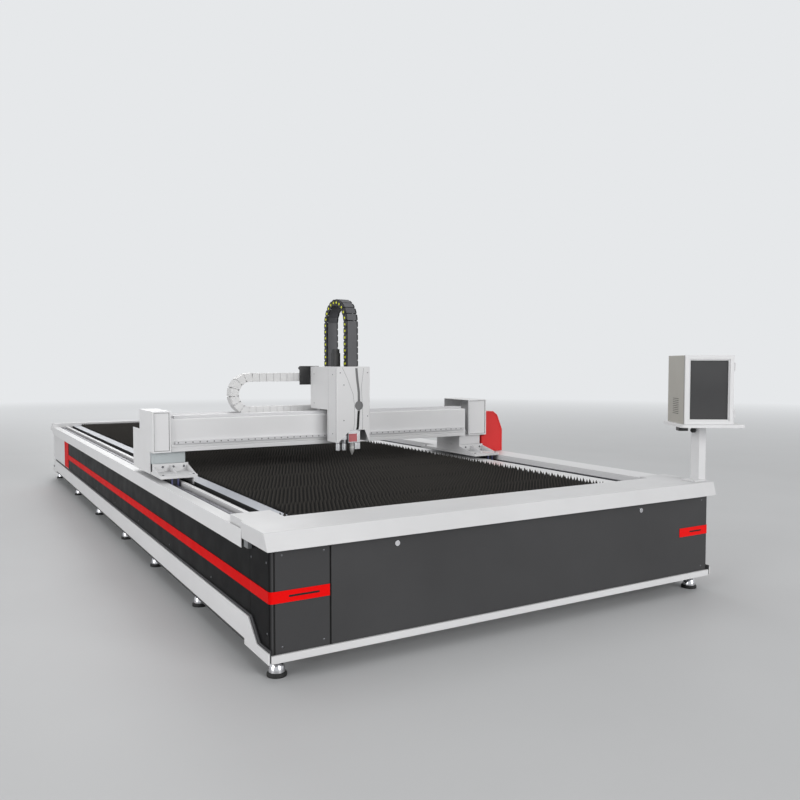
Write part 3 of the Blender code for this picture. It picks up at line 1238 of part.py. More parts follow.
def swivel_knob(looks):
    """Turn the clamp knob on the post."""
    face = POST_X - POST_SIZE / 2 - GAP
    head = face - KNOB_STEM_LENGTH
    profile = [(0, head - KNOB_LENGTH), (KNOB_RADIUS * KNOB_FACE_SHARE, head - KNOB_LENGTH),
               (KNOB_RADIUS, head - KNOB_LENGTH * KNOB_RIM_SHARE), (KNOB_RADIUS, head), (KNOB_STEM, head),
               (KNOB_STEM, face), (0, face)]
    centre = (0, POST_Y, POST_TOP - KNOB_DROP)
    return turned("swivel_knob", profile, KNOB_SIDES, "X", centre, looks["black_nylon"])


def console_pieces(looks):
    """Build the swivelling tray, the cabinet and the screen in the console's own frame."""
    white = looks["white_enamel"]
    base = POST_TOP + GAP
    half = TRAY_SIZE / 2
    outline = rounded(TRAY_SHIFT - half, TRAY_SHIFT + half, -half, half, TRAY_CORNER)
    tray = prism("console_tray", "Z", outline, base, base + TRAY_PLATE, white)
    socket_top = base - GAP + SPIGOT_HEIGHT + RUN
    socket = rod("socket", SPIGOT_RADIUS + RUN, base - OVERRUN, socket_top, SPIGOT_SIDES, "Z",
                 (0, 0, 0), white)
    cut(tray, socket)
    low = base + TRAY_PLATE + GAP
    top = low + CASE_HEIGHT
    side = CASE_WIDTH / 2
    front = -CASE_DEPTH / 2
    back = CASE_DEPTH / 2
    case = box("console_case", (-side, side), (front, back), (low, top), looks["beige_enamel"])
    room = box("room", (-side + CASE_WALL, side - CASE_WALL), (front - OVERRUN, back - CASE_WALL),
               (low + CASE_WALL, top - CASE_WALL), white)
    cut(case, room)
    screen_front = front + SCREEN_SETBACK
    screen = box("console_screen", (-SCREEN_WIDTH / 2, SCREEN_WIDTH / 2),
                 (screen_front, screen_front + SCREEN_DEPTH),
                 (low + SCREEN_LIFT, low + SCREEN_LIFT + SCREEN_HEIGHT), looks["dark_glass"])
    arm_z = low + SCREEN_LIFT + SCREEN_HEIGHT / 2
    arm = box("arm", (-SCREEN_ARM / 2, SCREEN_ARM / 2),
              (screen_front + SCREEN_DEPTH - GAP, back - CASE_WALL - GAP),
              (arm_z - SCREEN_ARM / 2, arm_z + SCREEN_ARM / 2), looks["dark_glass"])
    fuse(screen, arm)
    return [tray, case, screen]


def hinge_axis():
    """Give the door hinge's place in the console's frame."""
    return (CASE_WIDTH / 2 + HINGE_RADIUS + GAP, -CASE_DEPTH / 2 - GAP - DOOR_DEPTH / 2)


def console_door(looks):
    """Build the glazed door with its hinge barrels, and the pane in it."""
    white = looks["white_enamel"]
    low = POST_TOP + 2 * GAP + TRAY_PLATE
    top = low + CASE_HEIGHT
    side = CASE_WIDTH / 2
    back = -CASE_DEPTH / 2 - GAP
    front = back - DOOR_DEPTH
    door = box("console_door", (-side, side), (front, back), (low + RUN, top), white)
    window = box("window", (-side + DOOR_FRAME, side - DOOR_FRAME), (front - OVERRUN, back + OVERRUN),
                 (low + DOOR_FRAME, top - DOOR_FRAME), white)
    rebate = box("rebate", (-side + DOOR_FRAME - GLASS_REST, side - DOOR_FRAME + GLASS_REST),
                 (back - GLASS - GAP, back + OVERRUN),
                 (low + DOOR_FRAME - GLASS_REST, top - DOOR_FRAME + GLASS_REST), white)
    cut(door, window, rebate)
    axis_x, axis_y = hinge_axis()
    barrels = []
    for share in (HINGE_INSET_SHARE, 1 - HINGE_INSET_SHARE):
        foot = low + CASE_HEIGHT * share - HINGE_LENGTH / 2
        barrel = rod("barrel", HINGE_RADIUS, foot, foot + HINGE_LENGTH, HINGE_SIDES, "Z",
                     (axis_x, axis_y, 0), white)
        leaf = box("leaf", (side - HINGE_RADIUS, axis_x),
                   (axis_y - HINGE_RADIUS / 2, axis_y + HINGE_RADIUS / 2),
                   (foot + GAP, foot + HINGE_LENGTH - GAP), white)
        barrels += [barrel, leaf]
    fuse(door, *barrels)
    inner = GLASS_REST - GAP
    pane = box("console_glass", (-side + DOOR_FRAME - inner, side - DOOR_FRAME + inner),
               (back - GLASS, back - GAP),
               (low + DOOR_FRAME - inner, top - DOOR_FRAME + inner), looks["dark_glass"])
    return [door, pane]


def centre_on_footprint(origin):
    """Bring the middle of the machine's footprint over the frame's origin."""
    bpy.context.view_layer.update()
    corners = [piece.matrix_world @ vertex.co for piece in bpy.data.objects if piece.type == "MESH"
               for vertex in piece.data.vertices]
    for axis in range(2):
        values = [point[axis] for point in corners]
        origin.location[axis] -= (min(values) + max(values)) / 2
    bpy.context.view_layer.update()


def build():
    """Build every piece and hang it on what carries it."""
    clear_scene()
    looks = finish_table()
    origin = pivot("machine_origin", (0, 0, 0), None)
    bed = bed_frame(looks) + skirts(looks) + body_panels(looks) + red_bands(looks) + decks(looks)
    bed += rail_covers(looks) + rails_and_racks(looks) + [slat_table(looks), console_post(looks)]
    attach(bed, origin)
    for side, x in LOCK_PLACES.items():
        attach([panel_lock(side, looks)], pivot(f"lock_{side}_axis", (x, PANEL_OUT, LOCK_HEIGHT), origin))
    gantry = pivot("gantry_travel", (BEAM_LEFT, GANTRY_FRONT, PLATE_BOTTOM), origin)
    carried = beam_pieces(looks) + end_covers(looks) + [guard(looks)] + beam_chain(looks)
    for side, x in (("left", LEFT_PINION_X), ("right", RIGHT_PINION_X)):
        carried += [gantry_foot(side, looks), drive_motor(side, looks)]
        attach([drive_pinion(side, looks)], pivot(f"pinion_{side}_axis", (x, DRIVE_Y, PLATE_BOTTOM), gantry))
    attach(carried, gantry)
    head = pivot("head_travel", (HEAD_LEFT, HEAD_FRONT, HEAD_BOTTOM), gantry)
    lifted, chain = lift_pieces(looks)
    attach([saddle(looks), head_cover(looks), chain] + carriage_pieces(looks), head)
    attach(lifted, pivot("z_lift", (NOZZLE_X, LASER_Y, LASER_BOTTOM), head))
    attach([swivel_knob(looks)], pivot("knob_axis", (POST_X, POST_Y, POST_TOP - KNOB_DROP), origin))
    console = pivot("console_swivel", (POST_X, POST_Y, 0), origin, math.radians(CONSOLE_YAW))
    for piece in console_pieces(looks):
        piece.parent = console
    axis_x, axis_y = hinge_axis()
    hinge = bpy.data.objects.new("console_hinge", None)
    bpy.context.collection.objects.link(hinge)
    hinge.parent = console
    hinge.location = (axis_x, axis_y, 0)
    for piece in console_door(looks):
        piece.data.transform(Matrix.Translation((-axis_x, -axis_y, 0)))
        piece.parent = hinge
    centre_on_footprint(origin)


build()
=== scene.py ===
"""Looks of an open-bed fiber laser cutting machine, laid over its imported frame.

Shapes are drawn in the machine's own coordinates: x = 0 and y = 0 are the outer faces of the left and
front skirts, and the floor is z = 0. Lengths are metres.
"""

import logging
import math
from dataclasses import dataclass, field
from enum import Enum
from typing import Callable, Iterable, Sequence

import bmesh
import bpy
from mathutils import Matrix, Vector


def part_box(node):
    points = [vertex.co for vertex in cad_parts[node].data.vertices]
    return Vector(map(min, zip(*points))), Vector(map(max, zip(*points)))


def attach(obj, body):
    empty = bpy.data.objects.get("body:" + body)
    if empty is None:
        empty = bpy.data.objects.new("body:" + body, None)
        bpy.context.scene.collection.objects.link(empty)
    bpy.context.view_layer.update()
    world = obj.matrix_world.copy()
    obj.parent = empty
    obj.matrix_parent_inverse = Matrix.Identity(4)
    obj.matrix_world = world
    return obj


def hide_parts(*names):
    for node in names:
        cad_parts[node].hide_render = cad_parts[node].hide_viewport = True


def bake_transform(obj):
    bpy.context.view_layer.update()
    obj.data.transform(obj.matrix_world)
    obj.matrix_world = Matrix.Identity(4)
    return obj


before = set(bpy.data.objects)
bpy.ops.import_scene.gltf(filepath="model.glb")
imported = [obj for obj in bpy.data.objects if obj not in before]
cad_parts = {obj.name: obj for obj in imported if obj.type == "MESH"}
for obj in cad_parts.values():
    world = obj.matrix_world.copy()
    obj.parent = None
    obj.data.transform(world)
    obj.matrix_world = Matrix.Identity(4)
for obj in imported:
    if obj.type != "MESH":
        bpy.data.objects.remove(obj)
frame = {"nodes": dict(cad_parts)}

LOG = logging.getLogger("scene")
ORIGIN = Vector((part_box("skirt_left")[0].x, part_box("skirt_left")[0].y, 0.0))
HAIR = 0.0003

Span = tuple[float, float]
Place = tuple[float, float, float]
Outline = Sequence[tuple[float, float]]
Rgba = tuple[float, float, float, float]

FULL: Span = (0.0, 1.0)
CLOUD: Span = (0.35, 0.7)
TOUCH: Span = (0.3, 0.75)
LINES: Span = (0.3, 0.7)


class Axis(Enum):
    """Direction that a shape is drawn along."""

    X = "X"
    Y = "Y"
    Z = "Z"


class Body(Enum):
    """Moving bodies of the frame."""

    BED = "bed"
    GANTRY = "gantry"
    PINION_LEFT = "pinion_left_body"
    PINION_RIGHT = "pinion_right_body"
    HEAD = "head"
    LIFT = "lift"
    CONSOLE = "console"
    DOOR = "door"
    KNOB = "knob"
    LOCK_LEFT = "lock_left_body"
    LOCK_RIGHT = "lock_right_body"


class Slot(Enum):
    """Material slots."""

    WHITE = "white_enamel"
    ANTHRACITE = "anthracite_enamel"
    RED = "red_enamel"
    FRAME = "frame_paint"
    PRIMER = "grey_primer"
    STEEL = "ground_steel"
    SCORCHED = "scorched_steel"
    BRASS = "brass"
    BLACK_NYLON = "black_nylon"
    WHITE_NYLON = "white_nylon"
    MOTOR = "black_motor"
    GLASS = "dark_glass"
    PLASTIC = "black_plastic"
    BEIGE = "beige_enamel"


def linear(code: str) -> Rgba:
    """Turn an sRGB hex colour into linear light.

    Args:
        code: Six hex digits.

    Returns:
        Linear red, green, blue and full alpha.
    """
    values = []
    for start in (0, 2, 4):
        value = int(code[start:start + 2], 16) / 255
        values.append(value / 12.92 if value <= 0.04045 else ((value + 0.055) / 1.055) ** 2.4)
    return (*values, 1.0)


def darkened(colour: Rgba, share: float) -> Rgba:
    """Darken a linear colour.

    Args:
        colour: Linear colour.
        share: Share of the light that stays.

    Returns:
        The darker colour.
    """
    return (*(part * share for part in colour[:3]), 1.0)


def add_node(tree: bpy.types.NodeTree, kind: str, settings: dict | None = None,
             inputs: dict | None = None) -> bpy.types.Node:
    """Add one node, with its settings and with its inputs set or linked.

    Args:
        tree: Node tree to add to.
        kind: Node type.
        settings: Attributes by name.
        inputs: Values or output sockets by input name or number.

    Returns:
        The node.
    """
    node = tree.nodes.new(kind)
    for name, value in (settings or {}).items():
        setattr(node, name, value)
    for name, value in (inputs or {}).items():
        if isinstance(value, bpy.types.NodeSocket):
            tree.links.new(value, node.inputs[name])
        else:
            node.inputs[name].default_value = value
    return node


def place_of(tree: bpy.types.NodeTree) -> bpy.types.NodeSocket:
    """Give the socket with the place on the object, in metres.

    Args:
        tree: Node tree to add to.

    Returns:
        Object coordinates.
    """
    return add_node(tree, "ShaderNodeTexCoord").outputs["Object"]


def mix_colours(tree: bpy.types.NodeTree, share: bpy.types.NodeSocket, first: Rgba | bpy.types.NodeSocket,
                second: Rgba | bpy.types.NodeSocket) -> bpy.types.NodeSocket:
    """Mix two colours.

    Args:
        tree: Node tree to add to.
        share: Socket of the second colour's share.
        first: First colour or socket.
        second: Second colour or socket.

    Returns:
        Socket of the mixed colour.
    """
    node = add_node(tree, "ShaderNodeMix", {"data_type": "RGBA"}, {0: share, 6: first, 7: second})
    return node.outputs[2]


def remap(tree: bpy.types.NodeTree, value: bpy.types.NodeSocket, given: Span,
          wanted: Span = FULL) -> bpy.types.NodeSocket:
    """Map a value from one range to another, held at both ends.

    Args:
        tree: Node tree to add to.
        value: Socket to map.
        given: Range that comes in.
        wanted: Range that goes out.

    Returns:
        Socket of the mapped value.
    """
    node = add_node(tree, "ShaderNodeMapRange", {"clamp": True},
                    {"Value": value, "From Min": given[0], "From Max": given[1],
                     "To Min": wanted[0], "To Max": wanted[1]})
    return node.outputs["Result"]


def noise(tree: bpy.types.NodeTree, place: bpy.types.NodeSocket, size: float, detail: float = 2.0,
          stretch: Sequence[float] = (1.0, 1.0, 1.0)) -> bpy.types.NodeSocket:
    """Add a noise with features of a real size.

    Args:
        tree: Node tree to add to.
        place: Place on the object.
        size: Size of the features in metres.
        detail: Octaves.
        stretch: Factor of the size along each axis.

    Returns:
        Socket of the noise, from 0 to 1.
    """
    mapping = add_node(tree, "ShaderNodeMapping", {"vector_type": "POINT"},
                       {"Vector": place, "Scale": tuple(1.0 / (size * part) for part in stretch)})
    node = add_node(tree, "ShaderNodeTexNoise", {"noise_dimensions": "3D"},
                    {"Vector": mapping.outputs["Vector"], "Scale": 1.0, "Detail": detail, "Roughness": 0.5})
    return node.outputs["Fac"]


def start_material(name: str) -> tuple[bpy.types.Material, bpy.types.NodeTree, bpy.types.Node]:
    """Make a material with an output and a Principled shader.

    Args:
        name: Name of the material.

    Returns:
        The material, its node tree and its shader.
    """
    material = bpy.data.materials.new(name)
    material.use_nodes = True
    tree = material.node_tree
    shader = tree.nodes["Principled BSDF"]
    return material, tree, shader


def raise_surface(tree: bpy.types.NodeTree, shader: bpy.types.Node, height: bpy.types.NodeSocket,
                  depth: float, strength: float) -> None:
    """Give the shader a relief.

    Args:
        tree: Node tree.
        shader: Shader to shape.
        height: Socket of the height from 0 to 1.
        depth: Depth of the relief in metres.
        strength: How much of it is seen.
    """
    bump = add_node(tree, "ShaderNodeBump", {}, {"Height": height, "Distance": depth, "Strength": strength})
    tree.links.new(bump.outputs["Normal"], shader.inputs["Normal"])


def vary_roughness(tree: bpy.types.NodeTree, shader: bpy.types.Node, pattern: bpy.types.NodeSocket,
                   given: Span, rough: Span) -> None:
    """Let a pattern vary the roughness.

    Args:
        tree: Node tree.
        shader: Shader to set.
        pattern: Socket of the pattern.
        given: Range of the pattern that counts.
        rough: Roughness at both ends of that range.
    """
    tree.links.new(remap(tree, pattern, given, rough), shader.inputs["Roughness"])


@dataclass(frozen=True)
class PowderCoat:
    """Polyester powder baked on sheet steel: satin, with an orange peel that softens its reflections.

    Sizes are in metres: the peel's waves are 2.6 mm long and 0.08 mm high, the tone drifts over 450 mm
    and hands have dulled it in patches of 120 mm.
    """

    name: str
    colour: str
    roughness: float = 0.36
    peel: float = 0.0026
    depth: float = 0.00008
    tone: float = 0.05
    specular: float = 0.5
    drift: float = 0.45
    patch: float = 0.12
    relief: float = 0.35

    def make(self) -> bpy.types.Material:
        """Build the material.

        Returns:
            The material.
        """
        material, tree, shader = start_material(self.name)
        place = place_of(tree)
        base = linear(self.colour)
        cloud = remap(tree, noise(tree, place, self.drift, 3.0), CLOUD)
        colour = mix_colours(tree, cloud, base, darkened(base, 1.0 - self.tone))
        tree.links.new(colour, shader.inputs["Base Color"])
        vary_roughness(tree, shader, noise(tree, place, self.patch, 4.0), TOUCH,
                       (self.roughness - 0.03, self.roughness + 0.06))
        shader.inputs["Specular IOR Level"].default_value = self.specular
        raise_surface(tree, shader, noise(tree, place, self.peel, 1.0), self.depth, self.relief)
        return material


@dataclass(frozen=True)
class ZonedCoat:
    """Powder coat in two colours, masked at one place along an axis, on panels that light hardly glosses. The
    near colour is painted shade on faces turned from the light: on the corners the far paint darkened, on the
    side panels the front panels' anthracite darkened.

    Sizes are in metres: the peel's waves are 2.6 mm long, and hands have dulled it in patches of 150 mm.
    """

    name: str
    near: str
    far: str
    border: float
    roughness: float = 0.42
    peel: float = 0.0026
    axis: Axis = Axis.Y
    blur: float = 0.0005
    specular: float = 0.04
    patch: float = 0.15
    depth: float = 0.00008
    relief: float = 0.35

    def make(self) -> bpy.types.Material:
        """Build the material.

        Returns:
            The material.
        """
        material, tree, shader = start_material(self.name)
        place = place_of(tree)
        parts = add_node(tree, "ShaderNodeSeparateXYZ", {}, {"Vector": place})
        edge = self.border + (ORIGIN.y if self.axis is Axis.Y else ORIGIN.x)
        share = remap(tree, parts.outputs[self.axis.value], (edge - self.blur, edge + self.blur))
        colour = mix_colours(tree, share, linear(self.near), linear(self.far))
        tree.links.new(colour, shader.inputs["Base Color"])
        vary_roughness(tree, shader, noise(tree, place, self.patch, 4.0), TOUCH,
                       (self.roughness - 0.04, self.roughness + 0.06))
        shader.inputs["Specular IOR Level"].default_value = self.specular
        raise_surface(tree, shader, noise(tree, place, self.peel, 1.0), self.depth, self.relief)
        return material


@dataclass(frozen=True)
class GroundSteel:
    """Steel ground or drawn along one axis, so that fine lines stretch its highlights across them.

    Grinding lines are finer than a tenth of a millimetre. They are drawn 0.9 mm wide, so that they show.
    """

    name: str
    colour: str
    roughness: float = 0.3
    grain: Place = (1.0, 60.0, 1.0)
    line: float = 0.0009
    worn: float = 0.82
    depth: float = 0.00004
    relief: float = 0.25

    def make(self) -> bpy.types.Material:
        """Build the material.

        Returns:
            The material.
        """
        material, tree, shader = start_material(self.name)
        place = place_of(tree)
        lines = noise(tree, place, self.line, 3.0, self.grain)
        base = linear(self.colour)
        tree.links.new(mix_colours(tree, lines, base, darkened(base, self.worn)), shader.inputs["Base Color"])
        vary_roughness(tree, shader, lines, LINES, (self.roughness - 0.05, self.roughness + 0.08))
        shader.inputs["Metallic"].default_value = 1.0
        raise_surface(tree, shader, lines, self.depth, self.relief)
        return material


@dataclass(frozen=True)
class ScorchedSteel:
    """Hot-rolled plate cut by laser and blackened by use: dark scale, with barer tooth tips.

    Sizes are in metres: soot lies in patches of 30 mm and the slag's grit is 4 mm wide.
    """

    name: str
    scale: str
    tip: str
    root_height: float
    tip_height: float
    patch: float = 0.03
    sooty: float = 0.5
    grit: float = 0.004
    roughness: float = 0.7
    metal: float = 0.1
    depth: float = 0.0002
    relief: float = 0.4

    def make(self) -> bpy.types.Material:
        """Build the material.

        Returns:
            The material.
        """
        material, tree, shader = start_material(self.name)
        place = place_of(tree)
        parts = add_node(tree, "ShaderNodeSeparateXYZ", {}, {"Vector": place})
        height = remap(tree, parts.outputs["Z"], (self.root_height, self.tip_height))
        base = linear(self.scale)
        soot = remap(tree, noise(tree, place, self.patch, 4.0), CLOUD)
        plate = mix_colours(tree, soot, base, darkened(base, self.sooty))
        tree.links.new(mix_colours(tree, height, plate, linear(self.tip)), shader.inputs["Base Color"])
        shader.inputs["Roughness"].default_value = self.roughness
        shader.inputs["Metallic"].default_value = self.metal
        raise_surface(tree, shader, noise(tree, place, self.grit, 3.0), self.depth, self.relief)
        return material


@dataclass(frozen=True)
class Moulded:
    """Moulded nylon and rubber with a fine eroded grain that keeps it matt. The same finish carries the black
    and grey painted shade laid in joints, slots and seam lines.

    Sizes are in metres: the grain is 0.8 mm wide and the tone changes over 50 mm.
    """

    name: str
    colour: str
    roughness: float = 0.5
    grain: float = 0.0008
    patch: float = 0.05
    shade: float = 0.9
    depth: float = 0.00005
    relief: float = 0.3

    def make(self) -> bpy.types.Material:
        """Build the material.

        Returns:
            The material.
        """
        material, tree, shader = start_material(self.name)
        place = place_of(tree)
        base = linear(self.colour)
        colour = mix_colours(tree, noise(tree, place, self.patch, 3.0), base, darkened(base, self.shade))
        tree.links.new(colour, shader.inputs["Base Color"])
        shader.inputs["Roughness"].default_value = self.roughness
        raise_surface(tree, shader, noise(tree, place, self.grain, 2.0), self.depth, self.relief)
        return material


@dataclass(frozen=True)
class Plated:
    """Bright plated or turned metal. Turning marks, drawn 1.2 mm wide so that they show, blur it faintly."""

    name: str
    colour: str
    roughness: float = 0.12
    metal: float = 1.0
    mark: float = 0.0012
    stretch: Place = (20.0, 20.0, 1.0)
    spread: float = 0.08

    def make(self) -> bpy.types.Material:
        """Build the material.

        Returns:
            The material.
        """
        material, tree, shader = start_material(self.name)
        place = place_of(tree)
        shader.inputs["Base Color"].default_value = linear(self.colour)
        shader.inputs["Metallic"].default_value = self.metal
        marks = noise(tree, place, self.mark, 2.0, self.stretch)
        vary_roughness(tree, shader, marks, LINES, (self.roughness, self.roughness + self.spread))
        return material


@dataclass(frozen=True)
class SmokedPane:
    """Smoked acrylic sheet: glossy and dark, with a trace of what stands behind it.

    The smoke's tone drifts over 200 mm. The IOR is that of acrylic.
    """

    name: str
    colour: str
    passes: float = 0.2
    drift: float = 0.2
    shade: float = 0.85
    roughness: float = 0.1
    ior: float = 1.49

    def make(self) -> bpy.types.Material:
        """Build the material.

        Returns:
            The material.
        """
        material, tree, shader = start_material(self.name)
        place = place_of(tree)
        base = linear(self.colour)
        colour = mix_colours(tree, noise(tree, place, self.drift, 2.0), base, darkened(base, self.shade))
        tree.links.new(colour, shader.inputs["Base Color"])
        shader.inputs["Roughness"].default_value = self.roughness
        shader.inputs["IOR"].default_value = self.ior
        shader.inputs["Transmission Weight"].default_value = self.passes
        return material


Finish = PowderCoat | ZonedCoat | GroundSteel | ScorchedSteel | Moulded | Plated | SmokedPane


@dataclass(frozen=True)
class Palette:
    """Every finish of the machine."""

    white: PowderCoat = PowderCoat("powder coat white on sheet steel", "dfdfe0", 0.36, specular=0.4)
    deck_white: PowderCoat = PowderCoat("powder coat white on folded deck sheet", "d3d3d4", 0.4, specular=0.3)
    white_side: PowderCoat = PowderCoat("powder coat white on welded plate", "d8d8d9", 0.4, specular=0.4)
    anthracite: PowderCoat = PowderCoat("powder coat anthracite on sheet steel", "474748", 0.45, tone=0.12,
                                        specular=0.12)
    # The side panels' anthracite is darker than the front panels' as painted shade on faces turned from the
    # light; the white beyond the border is paint.
    side_panel: ZonedCoat = ZonedCoat("powder coat anthracite and white masked on sheet steel", "111112",
                                      "d8d8d9", 6.3)
    # The folded corner's side face is darker than its front as painted shade.
    corner: ZonedCoat = ZonedCoat("powder coat anthracite on the folded corner", "131314", "474748", 0.022,
                                  axis=Axis.X, blur=0.005)
    # The red band's side face at the corner is darker than its front as painted shade.
    corner_red_shaded: ZonedCoat = ZonedCoat("powder coat signal red on the folded corner", "d40404", "ee0f0f",
                                      0.022, axis=Axis.X, blur=0.005)
    # Black painted shade, laid in joints, slots, holes, vents and gaps where shade falls.
    seam: Moulded = Moulded("black painted shade in joints slots and gaps", "0a0a0a", 0.8)
    # Grey painted shade along the head cover's pressed seam lines and side creases.
    crease: Moulded = Moulded("grey painted shade along pressed seam lines", "8d8d90", 0.7)
    # Dark painted shade on the floor of the left rail's trough.
    trough: PowderCoat = PowderCoat("dark violet grey painted shade in the trough", "222025", 0.6,
                                    specular=0.3)
    strip: PowderCoat = PowderCoat("sprayed enamel violet grey on strip steel", "a9adb5", 0.42)
    red: PowderCoat = PowderCoat("powder coat signal red on sheet steel", "ee0f0f", 0.4, specular=0.1)
    # The side stripes' red is darker than the front bands' as painted shade.
    side_red_shaded: PowderCoat = PowderCoat("powder coat signal red on the side stripe", "d40404", 0.45,
                                      specular=0.03)
    guard_red: PowderCoat = PowderCoat("powder coat coral red on the folded guard", "d83030", 0.4,
                                       specular=0.3)
    backing: PowderCoat = PowderCoat("powder coat slate grey on the backing plate", "48484a", 0.45,
                                     specular=0.1)
    head_plate: PowderCoat = PowderCoat("anodised plate faded red", "c4666b", 0.4)
    # Grey painted shade in the beam's screw holes and the upper part of the cover's slit.
    slot_shade_grey: PowderCoat = PowderCoat("grey painted shade in holes and the slit", "6d6d6e", 0.45)
    frame: PowderCoat = PowderCoat("sprayed primer grey on welded tube", "77797b", 0.5)
    blue_grey: PowderCoat = PowderCoat("sprayed primer blue grey on cast iron", "b4bbbd", 0.45)
    steel: GroundSteel = GroundSteel("ground bearing steel along the bed", "a9a9ad", 0.28)
    # Ground rail steel, darkened by painted shade, for the rails and the left rack that lie in shaded
    # troughs.
    rail_steel: GroundSteel = GroundSteel("ground rail steel darkened by painted shade along the bed", "66656c", 0.42)
    block_steel: PowderCoat = PowderCoat("blackened steel guide block", "1a1a1e", 0.4, specular=0.3)
    pale_rail: PowderCoat = PowderCoat("nickel-plated rail steel with a matt pale film", "cfcfd1", 0.32)
    machined: GroundSteel = GroundSteel("milled aluminium anodised clear", "c4c5c7", 0.35, (1.0, 1.0, 25.0))
    scorched: ScorchedSteel = ScorchedSteel("hot-rolled steel plate scorched by cutting", "0d0c0b", "36322d",
                                            0.655, 0.692)
    nozzle: Plated = Plated("turned brass cutting nozzle chrome plated", "bdbdbb", 0.35, 0.45)
    chrome: Plated = Plated("turned steel chrome plated", "cfcfd2", 0.1)
    dark_steel: Plated = Plated("turned screw heads blackened steel", "6f7073", 0.3)
    rubber: Moulded = Moulded("moulded rubber pad black", "161616", 0.75)
    black_nylon: Moulded = Moulded("moulded nylon black", "1c1c1d", 0.55)
    grey_nylon: Moulded = Moulded("moulded nylon charcoal grey", "4c4c4f", 0.5)
    white_nylon: Moulded = Moulded("moulded nylon white", "d8d8d8", 0.45)
    yellow: Moulded = Moulded("moulded nylon yellow plugs", "e8ec10", 0.4)
    motor: Moulded = Moulded("electrocoated motor housing black", "1b1b1c", 0.42)
    glass: SmokedPane = SmokedPane("cast acrylic smoked sheet", "4c4c4d")
    plastic: Moulded = Moulded("moulded plastic housing black", "202021", 0.4)
    beige: PowderCoat = PowderCoat("powder coat beige grey on sheet steel", "a5a29a", 0.42)
    blue: Moulded = Moulded("moulded polyurethane wiper blue", "4a4c78", 0.5)


PALETTE = Palette()
MADE: dict[str, bpy.types.Material] = {}


def material_of(finish: Finish) -> bpy.types.Material:
    """Give the material of a finish, made once.

    Args:
        finish: A finish of the palette.

    Returns:
        The material.
    """
    if finish.name not in MADE:
        MADE[finish.name] = finish.make()
    return MADE[finish.name]


def spot(axis: Axis, a: float, b: float, along: float) -> Vector:
    """Put a point of an outline on a plane square to an axis.

    Args:
        axis: Axis the plane is square to.
        a: First coordinate of the point.
        b: Second coordinate of the point.
        along: Place of the plane.

    Returns:
        The point.
    """
    if axis is Axis.X:
        return Vector((along, a, b))
    if axis is Axis.Y:
        return Vector((a, along, b))
    return Vector((a, b, along))


TURNS = {Axis.X: Matrix.Rotation(math.pi / 2, 4, "Y"), Axis.Y: Matrix.Rotation(-math.pi / 2, 4, "X"),
         Axis.Z: Matrix.Identity(4)}


